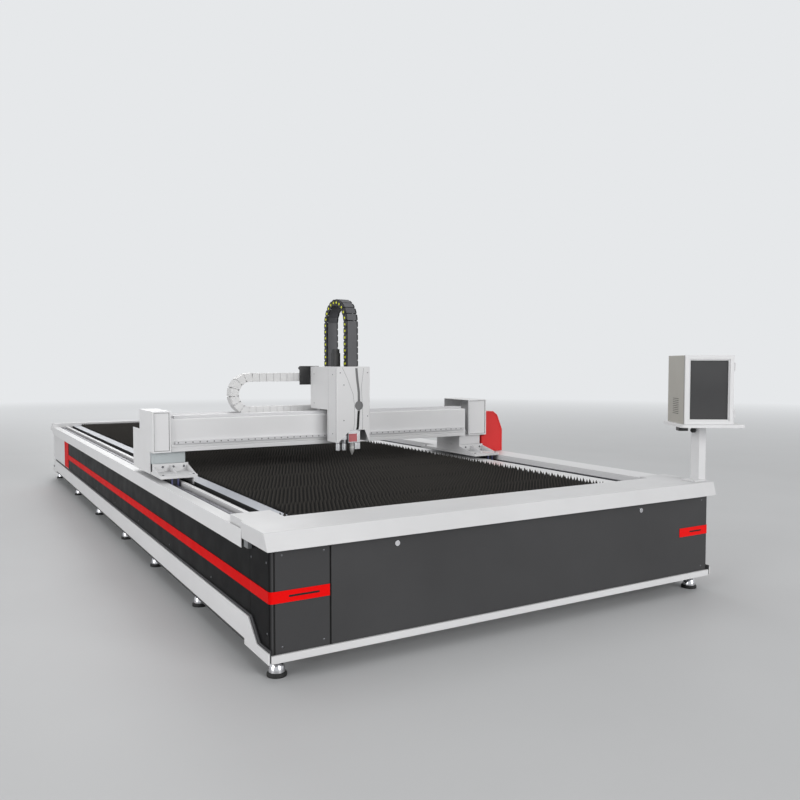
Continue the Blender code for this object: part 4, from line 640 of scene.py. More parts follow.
class Shape:
    """Geometry of one piece in the machine's coordinates."""

    def __init__(self) -> None:
        """Start with nothing."""
        self.bm = bmesh.new()

    def block(self, xs: Span, ys: Span, zs: Span) -> "Shape":
        """Add a block.

        Args:
            xs: Span along x.
            ys: Span along y.
            zs: Span along z.

        Returns:
            The shape.
        """
        made = bmesh.ops.create_cube(self.bm, size=1.0)["verts"]
        bmesh.ops.scale(self.bm, vec=[high - low for low, high in (xs, ys, zs)], verts=made)
        bmesh.ops.translate(self.bm, vec=[(low + high) / 2 for low, high in (xs, ys, zs)], verts=made)
        return self

    def prism(self, axis: Axis, outline: Outline, low: float, high: float) -> "Shape":
        """Add an outline extruded along an axis.

        Args:
            axis: Axis of the prism.
            outline: Corners of the outline.
            low: Where it starts.
            high: Where it ends.

        Returns:
            The shape.
        """
        foot = self.bm.faces.new([self.bm.verts.new(spot(axis, a, b, low)) for a, b in outline])
        raised = bmesh.ops.extrude_face_region(self.bm, geom=[foot])["geom"]
        bmesh.ops.translate(self.bm, vec=spot(axis, 0.0, 0.0, high - low),
                            verts=[part for part in raised if isinstance(part, bmesh.types.BMVert)])
        return self

    def turn(self, profile: Outline, centre: Sequence[float], axis: Axis = Axis.Z,
             sides: int = 32) -> "Shape":
        """Add a profile turned about an axis.

        Args:
            profile: Radius and height of each point.
            centre: Where the axis passes.
            axis: Axis of the turning.
            sides: Sides of the circle.

        Returns:
            The shape.
        """
        points = [self.bm.verts.new((radius, 0.0, height)) for radius, height in profile]
        edges = [self.bm.edges.new(pair) for pair in zip(points, points[1:])]
        known = set(self.bm.verts) - set(points)
        bmesh.ops.spin(self.bm, geom=points + edges, cent=(0, 0, 0), axis=(0, 0, 1), dvec=(0, 0, 0),
                       angle=math.tau, steps=sides, use_merge=True, use_duplicate=False)
        made = [vert for vert in self.bm.verts if vert not in known]
        bmesh.ops.remove_doubles(self.bm, verts=made, dist=1e-6)
        made = [vert for vert in self.bm.verts if vert not in known]
        bmesh.ops.transform(self.bm, matrix=TURNS[axis], verts=made)
        bmesh.ops.translate(self.bm, vec=Vector(centre), verts=made)
        return self

    def disc(self, radius: float, low: float, high: float, centre: Sequence[float], axis: Axis = Axis.Z,
             sides: int = 24) -> "Shape":
        """Add a round bar.

        Args:
            radius: Radius of the bar.
            low: Where it starts along the axis.
            high: Where it ends.
            centre: Where the axis passes.
            axis: Axis of the bar.
            sides: Sides of the circle.

        Returns:
            The shape.
        """
        return self.turn([(0.0, low), (radius, low), (radius, high), (0.0, high)], centre, axis, sides)

    def copy(self, node: str) -> "Shape":
        """Add the shape of a frame node, with its coplanar triangles merged.

        Args:
            node: Name of the node.

        Returns:
            The shape.
        """
        part = bmesh.new()
        part.from_mesh(frame["nodes"][node].data)
        bmesh.ops.remove_doubles(part, verts=part.verts, dist=2e-5)
        bmesh.ops.dissolve_limit(part, angle_limit=math.radians(1.0), use_dissolve_boundaries=False,
                                 verts=part.verts, edges=part.edges, delimit=set())
        bmesh.ops.translate(part, vec=-ORIGIN, verts=part.verts)
        return self.take(part)

    def take(self, part: bmesh.types.BMesh) -> "Shape":
        """Add a mesh as it stands.

        Args:
            part: Mesh to add, which is used up.

        Returns:
            The shape.
        """
        held = bpy.data.meshes.new("held")
        part.to_mesh(held)
        part.free()
        self.bm.from_mesh(held)
        bpy.data.meshes.remove(held)
        return self

    def loft(self, lower: Outline, upper: Outline, low: float, high: float) -> "Shape":
        """Add a body between two outlines of as many points at two heights.

        Args:
            lower: Outline below.
            upper: Outline above.
            low: Height of the lower outline.
            high: Height of the upper outline.

        Returns:
            The shape.
        """
        foot = self.bm.faces.new([self.bm.verts.new((x, y, low)) for x, y in lower])
        crown = self.bm.faces.new([self.bm.verts.new((x, y, high)) for x, y in upper])
        bmesh.ops.bridge_loops(self.bm, edges=list(foot.edges) + list(crown.edges))
        return self

    def screw(self, place: Sequence[float], axis: Axis, radius: float, height: float) -> "Shape":
        """Add a domed screw head with a socket on a face.

        Args:
            place: Middle of the head on the face.
            axis: Axis that the screw follows.
            radius: Radius of the head.
            height: Height of the head, negative towards the low side of the axis.

        Returns:
            The shape.
        """
        rim, bore, edge, floor = 0.6, 0.45, 0.4, 0.45
        profile = [(0.0, 0.0), (radius, 0.0), (radius, height * edge), (radius * rim, height),
                   (radius * bore, height), (radius * bore, height * floor), (0.0, height * floor)]
        return self.turn(profile, place, axis, 12)

    def add(self, part: "Shape", turn: Matrix) -> "Shape":
        """Add another shape, turned and moved to its place.

        Args:
            part: Shape to add, which is used up.
            turn: Turn and place.

        Returns:
            The shape.
        """
        bmesh.ops.transform(part.bm, matrix=turn, verts=part.bm.verts)
        return self.take(part.bm)

    def chain_link(self, pitch: float, thickness: float, width: float) -> "Shape":
        """Add one closed chain link about the origin, along x, with the neck that the next one turns on.

        Args:
            pitch: Length of one link.
            thickness: Height of the link.
            width: Width of the link.

        Returns:
            The shape.
        """
        clearance, body, neck, neck_height, step = 0.0008, 0.494, 0.56, 0.965, 0.0016
        side, half = width / 2, thickness / 2 - clearance
        self.block((-pitch * body, pitch * body), (-side, side), (-half, half))
        self.soften(0.0018)
        low = half * neck_height
        return self.block((-pitch * neck, pitch * neck), (step - side, side - step), (-low, low))

    def swing(self, yaw: float, centre: tuple[float, float]) -> "Shape":
        """Turn the shape about the origin's upright axis and move that axis to a place.

        Args:
            yaw: Angle in degrees.
            centre: Place of the axis.

        Returns:
            The shape.
        """
        matrix = Matrix.Translation((*centre, 0.0)) @ Matrix.Rotation(math.radians(yaw), 4, "Z")
        bmesh.ops.transform(self.bm, matrix=matrix, verts=self.bm.verts)
        return self

    def keep_below(self, height: float) -> "Shape":
        """Cut everything above a height away and close the cut.

        Args:
            height: Height of the cut.

        Returns:
            The shape.
        """
        return self.cut_flat(height, True)

    def keep_above(self, height: float) -> "Shape":
        """Cut everything below a height away and close the cut.

        Args:
            height: Height of the cut.

        Returns:
            The shape.
        """
        return self.cut_flat(height, False)

    def cut_flat(self, height: float, below: bool) -> "Shape":
        """Cut the shape at a height, keep one side and close the cut.

        Args:
            height: Height of the cut.
            below: Whether the lower side is kept.

        Returns:
            The shape.
        """
        geometry = list(self.bm.verts) + list(self.bm.edges) + list(self.bm.faces)
        bmesh.ops.bisect_plane(self.bm, geom=geometry, dist=1e-6, plane_co=(0.0, 0.0, height),
                               plane_no=(0.0, 0.0, 1.0), clear_outer=below, clear_inner=not below)
        rim = [edge for edge in self.bm.edges if len(edge.link_faces) == 1]
        bmesh.ops.edgeloop_fill(self.bm, edges=rim)
        return self

    def minus(self, *cutters: "Shape") -> "Shape":
        """Take other shapes out of this one by exact Booleans, which are then applied.

        Args:
            cutters: Shapes to take out, which are used up.

        Returns:
            The shape.
        """
        held = [self.hold()] + [cutter.hold() for cutter in cutters]
        for cutter in held[1:]:
            tool = held[0].modifiers.new("cut", "BOOLEAN")
            tool.operation = "DIFFERENCE"
            tool.solver = "EXACT"
            tool.object = cutter
        graph = bpy.context.evaluated_depsgraph_get()
        solid = bpy.data.meshes.new_from_object(held[0].evaluated_get(graph), depsgraph=graph)
        self.bm = bmesh.new()
        self.bm.from_mesh(solid)
        bpy.data.meshes.remove(solid)
        for piece in held:
            mesh = piece.data
            bpy.data.objects.remove(piece, do_unlink=True)
            bpy.data.meshes.remove(mesh)
        return self

    def hold(self) -> bpy.types.Object:
        """Turn the shape into an object for a moment.

        Returns:
            The object.
        """
        bmesh.ops.recalc_face_normals(self.bm, faces=self.bm.faces)
        mesh = bpy.data.meshes.new("held")
        self.bm.to_mesh(mesh)
        self.bm.free()
        piece = bpy.data.objects.new("held", mesh)
        bpy.context.scene.collection.objects.link(piece)
        return piece

    def soften_where(self, width: float, segments: int,
                     chosen: Callable[[bmesh.types.BMEdge], bool]) -> "Shape":
        """Round chosen edges.

        Args:
            width: Width of the rounding.
            segments: Steps of the rounding.
            chosen: Says whether an edge is rounded.

        Returns:
            The shape.
        """
        edges = [edge for edge in self.bm.edges if chosen(edge)]
        bmesh.ops.bevel(self.bm, geom=edges, offset=width, offset_type="OFFSET", segments=segments,
                        profile=0.5, affect="EDGES", clamp_overlap=True, material=-1)
        return self

    def soften(self, width: float, segments: int = 2, angle: float = 30.0) -> "Shape":
        """Round every sharp edge.

        Args:
            width: Width of the rounding.
            segments: Steps of the rounding.
            angle: Edges turned more than this many degrees are rounded.

        Returns:
            The shape.
        """
        bmesh.ops.recalc_face_normals(self.bm, faces=self.bm.faces)
        limit = math.radians(angle)
        return self.soften_where(width, segments, lambda edge: len(edge.link_faces) == 2
                                 and edge.calc_face_angle(0.0) > limit)

    def emit(self, name: str, finish: Finish, body: Body | None, slot: Slot,
             replaces: Iterable[str] = (), smooth: float = 40.0) -> bpy.types.Object:
        """Turn the shape into a piece of the machine.

        Args:
            name: Name of the piece.
            finish: Finish of the palette.
            body: Body that the piece rides on, or None for a piece attached to no body.
            slot: Material slot; not used.
            replaces: Nodes that the piece stands for.
            smooth: Edges turned less than this many degrees look smooth.

        Returns:
            The object.
        """
        bmesh.ops.recalc_face_normals(self.bm, faces=self.bm.faces)
        bmesh.ops.translate(self.bm, vec=ORIGIN, verts=self.bm.verts)
        mesh = bpy.data.meshes.new(name)
        self.bm.to_mesh(mesh)
        self.bm.free()
        mesh.shade_smooth()
        mesh.set_sharp_from_angle(angle=math.radians(smooth))
        mesh.materials.append(material_of(finish))
        piece = bpy.data.objects.new(name, mesh)
        bpy.context.scene.collection.objects.link(piece)
        weighted = piece.modifiers.new("weighted", "WEIGHTED_NORMAL")
        weighted.keep_sharp = True
        if body is not None:
            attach(piece, body.value)
        if replaces:
            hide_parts(*replaces)
        return piece


def span_of(node: str) -> tuple[Vector, Vector]:
    """Give the box of a frame node in the machine's coordinates.

    Args:
        node: Name of the node.

    Returns:
        Its low and high corners.
    """
    low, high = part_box(node)
    return low - ORIGIN, high - ORIGIN


def dress(node: str, finish: Finish, body: Body, slot: Slot, width: float = 0.002) -> bpy.types.Object:
    """Stand a copy with soft edges in for a frame node.

    Args:
        node: Name of the node.
        finish: Finish of the palette.
        body: Body that the node belongs to.
        slot: Material slot.
        width: Width of the rounding, or zero for none.

    Returns:
        The piece.
    """
    shape = Shape().copy(node)
    if width:
        shape.soften(width)
    return shape.emit(f"{node}_look", finish, body, slot, (node,))


def paint(node: str, finish: Finish) -> None:
    """Give a frame node a finish as it stands.

    Args:
        node: Name of the node.
        finish: Finish of the palette.
    """
    target = frame["nodes"][node]
    target.data.materials.clear()
    target.data.materials.append(material_of(finish))


def rounded(x0: float, x1: float, y0: float, y1: float, radius: float,
            steps: int = 6) -> list[tuple[float, float]]:
    """Outline a rectangle with round corners.

    Args:
        x0: Low side.
        x1: High side.
        y0: Low end.
        y1: High end.
        radius: Radius of the corners.
        steps: Steps of each corner.

    Returns:
        The outline.
    """
    points = []
    for quarter, (x, y) in enumerate(((x1, y1), (x0, y1), (x0, y0), (x1, y0))):
        centre_x = x - radius if x == x1 else x + radius
        centre_y = y - radius if y == y1 else y + radius
        for step in range(steps + 1):
            angle = math.pi / 2 * (quarter + step / steps)
            points.append((centre_x + radius * math.cos(angle), centre_y + radius * math.sin(angle)))
    return points


def ring(xs: Span, zs: Span, width: float) -> list[tuple[Span, Span]]:
    """Divide a rectangular rim into four bars that don't overlap.

    Args:
        xs: Span across the rim.
        zs: Span of its height.
        width: Width of the bars.

    Returns:
        The spans of each bar.
    """
    inner = (zs[0] + width, zs[1] - width)
    return [(xs, (zs[0], inner[0])), (xs, (inner[1], zs[1])), ((xs[0], xs[0] + width), inner),
            ((xs[1] - width, xs[1]), inner)]


def ribbon(points: Outline, half: float) -> list[tuple[float, float]]:
    """Outline a narrow strip along a line of points that climbs or falls.

    Args:
        points: Points of the line.
        half: Half of the strip's width.

    Returns:
        The outline.
    """
    return [(a + half, b) for a, b in points] + [(a - half, b) for a, b in reversed(points)]


@dataclass(frozen=True)
class Link:
    """Place of one cable chain link: its centre and the direction of the chain there."""

    along: float
    height: float
    step_along: float
    step_height: float


@dataclass(frozen=True)
class ChainPath:
    """U-shaped path of a cable chain: a lower run, a half turn and an upper run."""

    start: float
    bend: float
    end: float
    radius: float
    pitch: float

    def links(self) -> list[Link]:
        """Give the place of each link from the fixed end.

        Returns:
            The links.
        """
        run_in = self.start - self.bend
        arc = math.pi * self.radius
        total = run_in + arc + self.end - self.bend
        count = round(total / self.pitch)
        places = []
        for index in range(count):
            place = total * (index + 0.5) / count
            if place < run_in:
                places.append(Link(self.start - place, -self.radius, -1.0, 0.0))
            elif place < run_in + arc:
                turn = (place - run_in) / self.radius
                places.append(Link(self.bend - self.radius * math.sin(turn), -self.radius * math.cos(turn),
                                   -math.cos(turn), math.sin(turn)))
            else:
                places.append(Link(self.bend + place - run_in - arc, self.radius, 1.0, 0.0))
        return places


@dataclass
class Bed:
    """Feet, skirts, panels, bands, decks and fasteners of the bed."""

    length: float = 7.600
    width: float = 3.020
    foot_places: tuple[float, ...] = (0.100, 1.340, 2.420, 3.450, 4.680, 6.000, 7.500)
    foot_inset: float = 0.080
    pad_radius: float = 0.048
    pad_height: float = 0.0125
    pad_crown: float = 0.021
    pad_edge: float = 0.001
    pad_shoulder: float = 0.0015
    dome_sink: float = 0.004
    dome_radius: float = 0.0405
    dome_top: float = 0.070
    stem_radius: float = 0.0128
    nut_radius: float = 0.0218
    nut_low: float = 0.1255
    nut_high: float = 0.1405
    face: float = 0.0153
    sheet: float = 0.012
    band: float = 0.003
    corner_radius: float = 0.016
    seam: Span = (0.3145, 0.3238)
    seam_sink: float = 0.007
    groove: Span = (0.0318, 0.0410)
    groove_depth: float = 0.005
    groove_fill: float = 0.0035
    panel_low: float = 0.0993
    panel_high: float = 0.613
    side_seam: float = 0.273
    right_return: float = 0.100
    right_band: float = 0.280
    band_low: float = 0.366
    band_high: float = 0.421
    slots: tuple[Span, Span] = ((0.106, 0.263), (2.830, 2.940))
    slot_half: float = 0.005
    inlay_sink: float = 0.0012
    skirt_low: float = 0.093
    skirt_arch: float = 0.122
    skirt_heel: float = 0.146
    skirt_high: float = 0.245
    skirt_end: float = 0.323
    skirt_ramp: Span = (0.155, 0.269)
    backing: Span = (0.0085, 0.0149)
    backing_reach: float = 0.026
    backing_rise: float = 0.45
    backing_low: float = 0.100
    backing_inset: float = 0.001
    deck_reach: float = 0.0195
    deck_lip: float = 0.310
    deck_lean: float = 0.030
    deck_flare: float = 0.008
    deck_heights: Span = (0.6153, 0.700)
    deck_back: float = 0.326
    deck_step: float = 0.025
    left_arm: Span = (0.214, 0.520)
    right_arm: Span = (2.800, 0.400)
    bracket_reach: float = 0.006
    bracket_span: Span = (0.243, 0.299)
    bracket_heights: Span = (0.578, 0.6145)
    corner_screws: tuple[Span, ...] = ((0.255, 0.5356), (0.055, 0.5496), (0.050, 0.2215))
    side_screws: tuple[float, ...] = (0.9, 1.8, 2.7, 3.6, 4.5, 5.4, 6.2)
    side_screw_rows: Span = (0.575, 0.285)
    front_screws: tuple[float, ...] = (0.075, 0.285, 2.945)
    front_screw_rows: Span = (0.585, 0.160)

    def feet(self) -> None:
        """Turn every levelling foot over the plain one of the frame."""
        base = self.pad_crown - self.dome_sink
        steps = 8
        profile = [(0.0, base)]
        for step in range(steps + 1):
            angle = math.pi / 2 * step / steps
            radius = self.stem_radius + (self.dome_radius - self.stem_radius) * math.cos(angle)
            profile.append((radius, base + (self.dome_top - base) * math.sin(angle)))
        profile += [(self.stem_radius, self.nut_low), (0.0, self.nut_low)]
        pad = [(0.0, 0.0), (self.pad_radius - self.pad_edge, 0.0), (self.pad_radius, self.pad_edge),
               (self.pad_radius, self.pad_height), (self.dome_radius + self.pad_shoulder, self.pad_crown),
               (0.0, self.pad_crown)]
        domes = Shape()
        pads = Shape()
        for y in self.foot_places:
            for x in (self.foot_inset, self.width - self.foot_inset):
                domes.turn(profile, (x, y, 0.0))
                domes.disc(self.nut_radius, self.nut_low, self.nut_high, (x, y, 0.0), sides=6)
                pads.turn(pad, (x, y, 0.0))
        domes.emit("levelling_feet", PALETTE.chrome, Body.BED, Slot.FRAME)
        pads.emit("foot_pads", PALETTE.rubber, Body.BED, Slot.FRAME)

    def plan(self, face: float, thickness: float, end_x: float, end_y: float, mirrored: bool,
             grooved: bool = False) -> list[tuple[float, float]]:
        """Outline a sheet folded round a front corner, seen from above.

        Args:
            face: Distance of its outer face from the skirt's.
            thickness: Thickness of the sheet.
            end_x: Where it ends along the front.
            end_y: Where it ends along the side.
            mirrored: Whether it is the right corner.
            grooved: Whether an upright joint is sunk into its front near the corner.

        Returns:
            The outline.
        """
        outer = self.corner_radius + self.face - face
        inner = outer - thickness
        centre = face + outer
        steps = 8
        arc = [math.pi + math.pi / 2 * step / steps for step in range(steps + 1)]
        points = [(face, end_y)]
        points += [(centre + outer * math.cos(turn), centre + outer * math.sin(turn)) for turn in arc]
        if grooved:
            low, high = self.groove
            deep = face + self.groove_depth
            points += [(low, face), (low, deep), (high, deep), (high, face)]
        points += [(end_x, face), (end_x, face + thickness)]
        points += [(centre + inner * math.cos(turn), centre + inner * math.sin(turn))
                   for turn in reversed(arc)]
        points.append((face + thickness, end_y))
        return [(self.width - x, y) for x, y in points] if mirrored else points

    def panels(self) -> None:
        """Fold the dark panels, sink the upright joints and coat the sides, whose anthracite is darker than
        the front's as painted shade; black painted shade fills the joints.
        """
        front_end = self.width - self.seam[1]
        heights = (self.panel_low, self.panel_high)
        corner = self.plan(self.face, self.sheet, self.seam[0], self.side_seam, False, True)
        Shape().prism(Axis.Z, corner, *heights).soften(0.001).emit(
            "corner_panel_look", PALETTE.corner, Body.BED, Slot.ANTHRACITE, ("corner_panel",))
        front = self.plan(self.face, self.sheet, front_end, self.right_return, True)
        Shape().prism(Axis.Z, front, *heights).soften(0.001).emit(
            "front_panel_look", PALETTE.anthracite, Body.BED, Slot.ANTHRACITE, ("front_panel",))
        # Black painted shade fills the joint between the panels and the groove near the corner.
        joints = Shape()
        joints.block((self.seam[0] + HAIR, self.seam[1] - HAIR),
                     (self.face + self.seam_sink, self.face + self.sheet), heights)
        low, high = self.groove
        floor = self.face + self.groove_depth - HAIR / 3
        joints.block((low + HAIR, high - HAIR), (self.face + self.groove_fill, floor), heights)
        joints.emit("panel_joint_shade", PALETTE.seam, Body.BED, Slot.ANTHRACITE)
        dress("rear_panel", PALETTE.anthracite, Body.BED, Slot.ANTHRACITE, 0.0012)
        for node in ("side_panel_left", "side_panel_right"):
            dress(node, PALETTE.side_panel, Body.BED, Slot.ANTHRACITE, 0.0012)

    def bands(self) -> None:
        """Lay the red bands with their slots over the panels; their side faces and the side stripes are a
        darker red as painted shade, and black painted shade fills the slots.
        """
        face = self.face - HAIR - self.band
        middle = (self.band_low + self.band_high) / 2
        half = self.slot_half
        fill = half - HAIR
        cut = (face - 0.01, face + self.band + HAIR / 2)
        for name, node, end_x, end_y, mirrored, slot in (
                ("corner_band_look", "corner_band", self.seam[0], self.side_seam, False, self.slots[0]),
                ("front_band_look", "front_band_right", self.right_band, self.right_return, True,
                 self.slots[1])):
            sheet = self.plan(face, self.band, end_x, end_y, mirrored)
            band = Shape().prism(Axis.Z, sheet, self.band_low, self.band_high)
            hole = rounded(slot[0], slot[1], middle - half, middle + half, half)
            band.minus(Shape().prism(Axis.Y, hole, *cut))
            band.emit(name, PALETTE.red if mirrored else PALETTE.corner_red_shaded, Body.BED, Slot.RED, (node,))
            # Black painted shade fills each slot.
            inlay = rounded(slot[0] + HAIR, slot[1] - HAIR, middle - fill, middle + fill, fill)
            Shape().prism(Axis.Y, inlay, face + self.inlay_sink, face + self.band).emit(
                f"{name}_slot", PALETTE.seam, Body.BED, Slot.RED)
        # The side stripes take the red darkened as painted shade.
        for node in ("stripe_left", "stripe_right"):
            dress(node, PALETTE.side_red_shaded, Body.BED, Slot.RED, 0.0006)

    def skirts(self) -> None:
        """Stand the skirts round the foot, with a dark backing plate behind each side skirt."""
        for node in ("skirt_front", "skirt_rear"):
            dress(node, PALETTE.white, Body.BED, Slot.WHITE)
        far = self.length
        ramp, shoulder = self.skirt_ramp
        low, arch, heel, high, end = (self.skirt_low, self.skirt_arch, self.skirt_heel, self.skirt_high,
                                      self.skirt_end)
        side = [(0.0, low), (end, low), (end, arch), (far - end, arch), (far - end, low), (far, low),
                (far, heel), (far - ramp, heel), (far - shoulder, high), (shoulder, high), (ramp, heel),
                (0.0, heel)]
        reach = self.backing_reach
        rise = reach * self.backing_rise
        near, base = self.backing_inset, self.backing_low
        plate = [(near, base), (far - near, base), (far - near, heel + rise),
                 (far - ramp + reach, heel + rise),
                 (far - shoulder + reach, high + rise), (shoulder - reach, high + rise),
                 (ramp - reach, heel + rise), (near, heel + rise)]
        outside, inside = self.backing
        for name, outer, inner in (
                ("left", (0.0, outside - HAIR), self.backing),
                ("right", (self.width - outside + HAIR, self.width),
                 (self.width - inside, self.width - outside))):
            Shape().prism(Axis.X, side, *outer).soften(0.002).emit(
                f"skirt_{name}_look", PALETTE.white, Body.BED, Slot.WHITE, (f"skirt_{name}",))
            Shape().prism(Axis.X, plate, *inner).soften(0.001).emit(
                f"skirt_backing_{name}", PALETTE.backing, Body.BED, Slot.FRAME)

    def decks(self) -> None:
        """Fold both decks: the front one reaches back along each side and leans out over the front."""
        left, right = -self.deck_reach, self.width + self.deck_reach
        lip, lean, flare = self.deck_lip, self.deck_lean, self.deck_flare
        arm_x, arm_y = self.left_arm
        inner = [self.right_arm, (self.right_arm[0], self.deck_back), (arm_x, self.deck_back), (arm_x, arm_y),
                 (0.0, arm_y), (0.0, lip + self.deck_step)]
        upper = [(left, lip), (left, 0.0), (right, 0.0), (right, self.right_arm[1])] + inner
        lower = [(left + flare, lip), (left + flare, -lean), (right - flare, -lean),
                 (right - flare, self.right_arm[1])] + inner
        Shape().loft(lower, upper, *self.deck_heights).soften(0.0035, 3).emit(
            "front_deck_look", PALETTE.deck_white, Body.BED, Slot.WHITE, ("front_deck",))
        dress("rear_deck", PALETTE.deck_white, Body.BED, Slot.WHITE, 0.003)
        for side, xs in (("left", (-self.bracket_reach, self.face - HAIR)),
                         ("right", (self.width - self.face + HAIR, self.width + self.bracket_reach))):
            Shape().block(xs, self.bracket_span, self.bracket_heights).soften(0.0015).emit(
                f"deck_bracket_{side}", PALETTE.frame, Body.BED, Slot.FRAME)

    def fasteners(self) -> None:
        """Set the screws and locks into the panels."""
        for node, body in (("lock_left", Body.LOCK_LEFT), ("lock_right", Body.LOCK_RIGHT)):
            dress(node, PALETTE.chrome, body, Slot.STEEL, 0.0006)
        heads = Shape()
        surface = self.face + HAIR
        rows = list(self.corner_screws) + [(y, z) for y in self.side_screws for z in self.side_screw_rows]
        for y, z in rows:
            heads.screw((surface, y, z), Axis.X, 0.006, -0.0025)
            heads.screw((self.width - self.face - HAIR, y, z), Axis.X, 0.006, 0.0025)
        for x in self.front_screws:
            for z in self.front_screw_rows:
                heads.screw((x, surface, z), Axis.Y, 0.005, -0.002)
        heads.emit("panel_screws", PALETTE.dark_steel, Body.BED, Slot.STEEL)

    def build(self) -> None:
        """Build the whole bed."""
        for node in ("side_frame_left", "side_frame_right", "cross_beam_1", "cross_beam_2", "cross_beam_3"):
            paint(node, PALETTE.frame)
        self.feet()
        self.skirts()
        self.panels()
        self.bands()
        self.decks()
        self.fasteners()


@dataclass
class Rails:
    """Rail covers, guide rails, racks and the strips beside the slats."""

    start: float = 0.5210
    end: float = 7.4797
    front: float = 0.3275
    seat_end: float = 0.4220
    seat_low: float = 0.6153
    seat_lap: float = 0.0004
    hem: Span = (-0.010, -0.006)
    hem_end: float = 0.5202
    hem_heights: Span = (0.568, 0.6595)
    trough_spans: tuple[Span, Span] = ((0.0615, 0.0885), (0.1175, 0.1447))
    trough_heights: Span = (0.6194, 0.6204)
    slot_span: Span = (0.1945, 0.2286)
    slot_heights: Span = (0.6152, 0.6160)
    slot_wall: Span = (0.2276, 0.2289)
    slot_wall_heights: Span = (0.6162, 0.6598)
    left_strip: Span = (0.2293, 0.3157)
    right_strip: Span = (2.5003, 2.6897)
    strip_heights: Span = (0.6602, 0.6618)
    apron: Span = (0.2143, 0.3157)
    apron_top: float = 0.6610
    apron_end: float = 0.5207
    plug_pitch: float = 0.300
    plug_first: float = 0.060
    plug_margin: float = 0.080
    plug_radius: float = 0.0055
    plug_heights: Span = (0.6451, 0.64525)

    def covers(self) -> None:
        """Fold the covers over both rails, with the hem that runs forward on the left; dark strips of painted
        shade lie in the left trough and black painted shade in the rack slot.
        """
        run = (self.start, self.end)
        left = Shape().copy("rail_cover_left").soften(0.0015)
        left.block(self.hem, (self.front, self.hem_end), self.hem_heights)
        left.emit("rail_cover_left_look", PALETTE.white, Body.BED, Slot.WHITE, ("rail_cover_left",))
        dress("rail_cover_right", PALETTE.white, Body.BED, Slot.WHITE, 0.0015)
        # Dark strips of painted shade on the trough's floor beside the left rail.
        shade_sheet = Shape()
        for xs in self.trough_spans:
            shade_sheet.block(xs, run, self.trough_heights)
        shade_sheet.emit("trough_shade_sheet", PALETTE.trough, Body.BED, Slot.FRAME)
        # Black painted shade on the rack slot's floor and on its wall.
        slot = Shape().block(self.slot_span, run, self.slot_heights)
        slot.block(self.slot_wall, run, self.slot_wall_heights)
        slot.emit("rack_slot_shade", PALETTE.seam, Body.BED, Slot.FRAME)

    def strips(self) -> None:
        """Lay the flat strips beside the slats, and a black block of painted shade at the slats' front left
        corner.
        """
        seat = (self.front, self.seat_end - self.seat_lap)
        past_seat = self.seat_end - HAIR
        left = Shape().block(self.left_strip, (self.start, self.end), self.strip_heights)
        left.emit("strip_left", PALETTE.strip, Body.BED, Slot.FRAME)
        right = Shape().block(self.right_strip, seat, (self.seat_low, self.strip_heights[1]))
        right.block(self.right_strip, (past_seat, self.end), self.strip_heights)
        right.emit("strip_right", PALETTE.white, Body.BED, Slot.FRAME)
        # Black painted shade fills the corner beside the front slats.
        corner = Shape().block(self.apron, seat, (self.seat_low, self.apron_top))
        corner.block(self.apron, (past_seat, self.apron_end), (self.strip_heights[0], self.apron_top))
        corner.emit("slat_corner_shade", PALETTE.seam, Body.BED, Slot.SCORCHED)

    def rails(self) -> None:
        """Lay the guide rails with their plugs, and the racks; the rails and the left rack take steel
        darkened as painted shade.
        """
        plugs = Shape()
        for node in ("guide_rail_left", "guide_rail_right"):
            dress(node, PALETTE.rail_steel, Body.BED, Slot.STEEL, 0.001)
            low, high = span_of(node)
            middle = (low.x + high.x) / 2
            count = int((high.y - low.y - self.plug_margin) / self.plug_pitch)
            for index in range(count + 1):
                y = low.y + self.plug_first + index * self.plug_pitch
                plugs.disc(self.plug_radius, *self.plug_heights, (middle, y, 0.0), sides=8)
        plugs.emit("guide_rail_plugs", PALETTE.dark_steel, Body.BED, Slot.STEEL, (), 20.0)
        # The left rack takes the steel darkened as painted shade, the right rack the bright steel.
        for node, finish in (("rack_left", PALETTE.rail_steel), ("rack_right", PALETTE.steel)):
            dress(node, finish, Body.BED, Slot.STEEL, 0.0)

    def build(self) -> None:
        """Build the covers, strips, rails and racks."""
        self.covers()
        self.strips()
        self.rails()


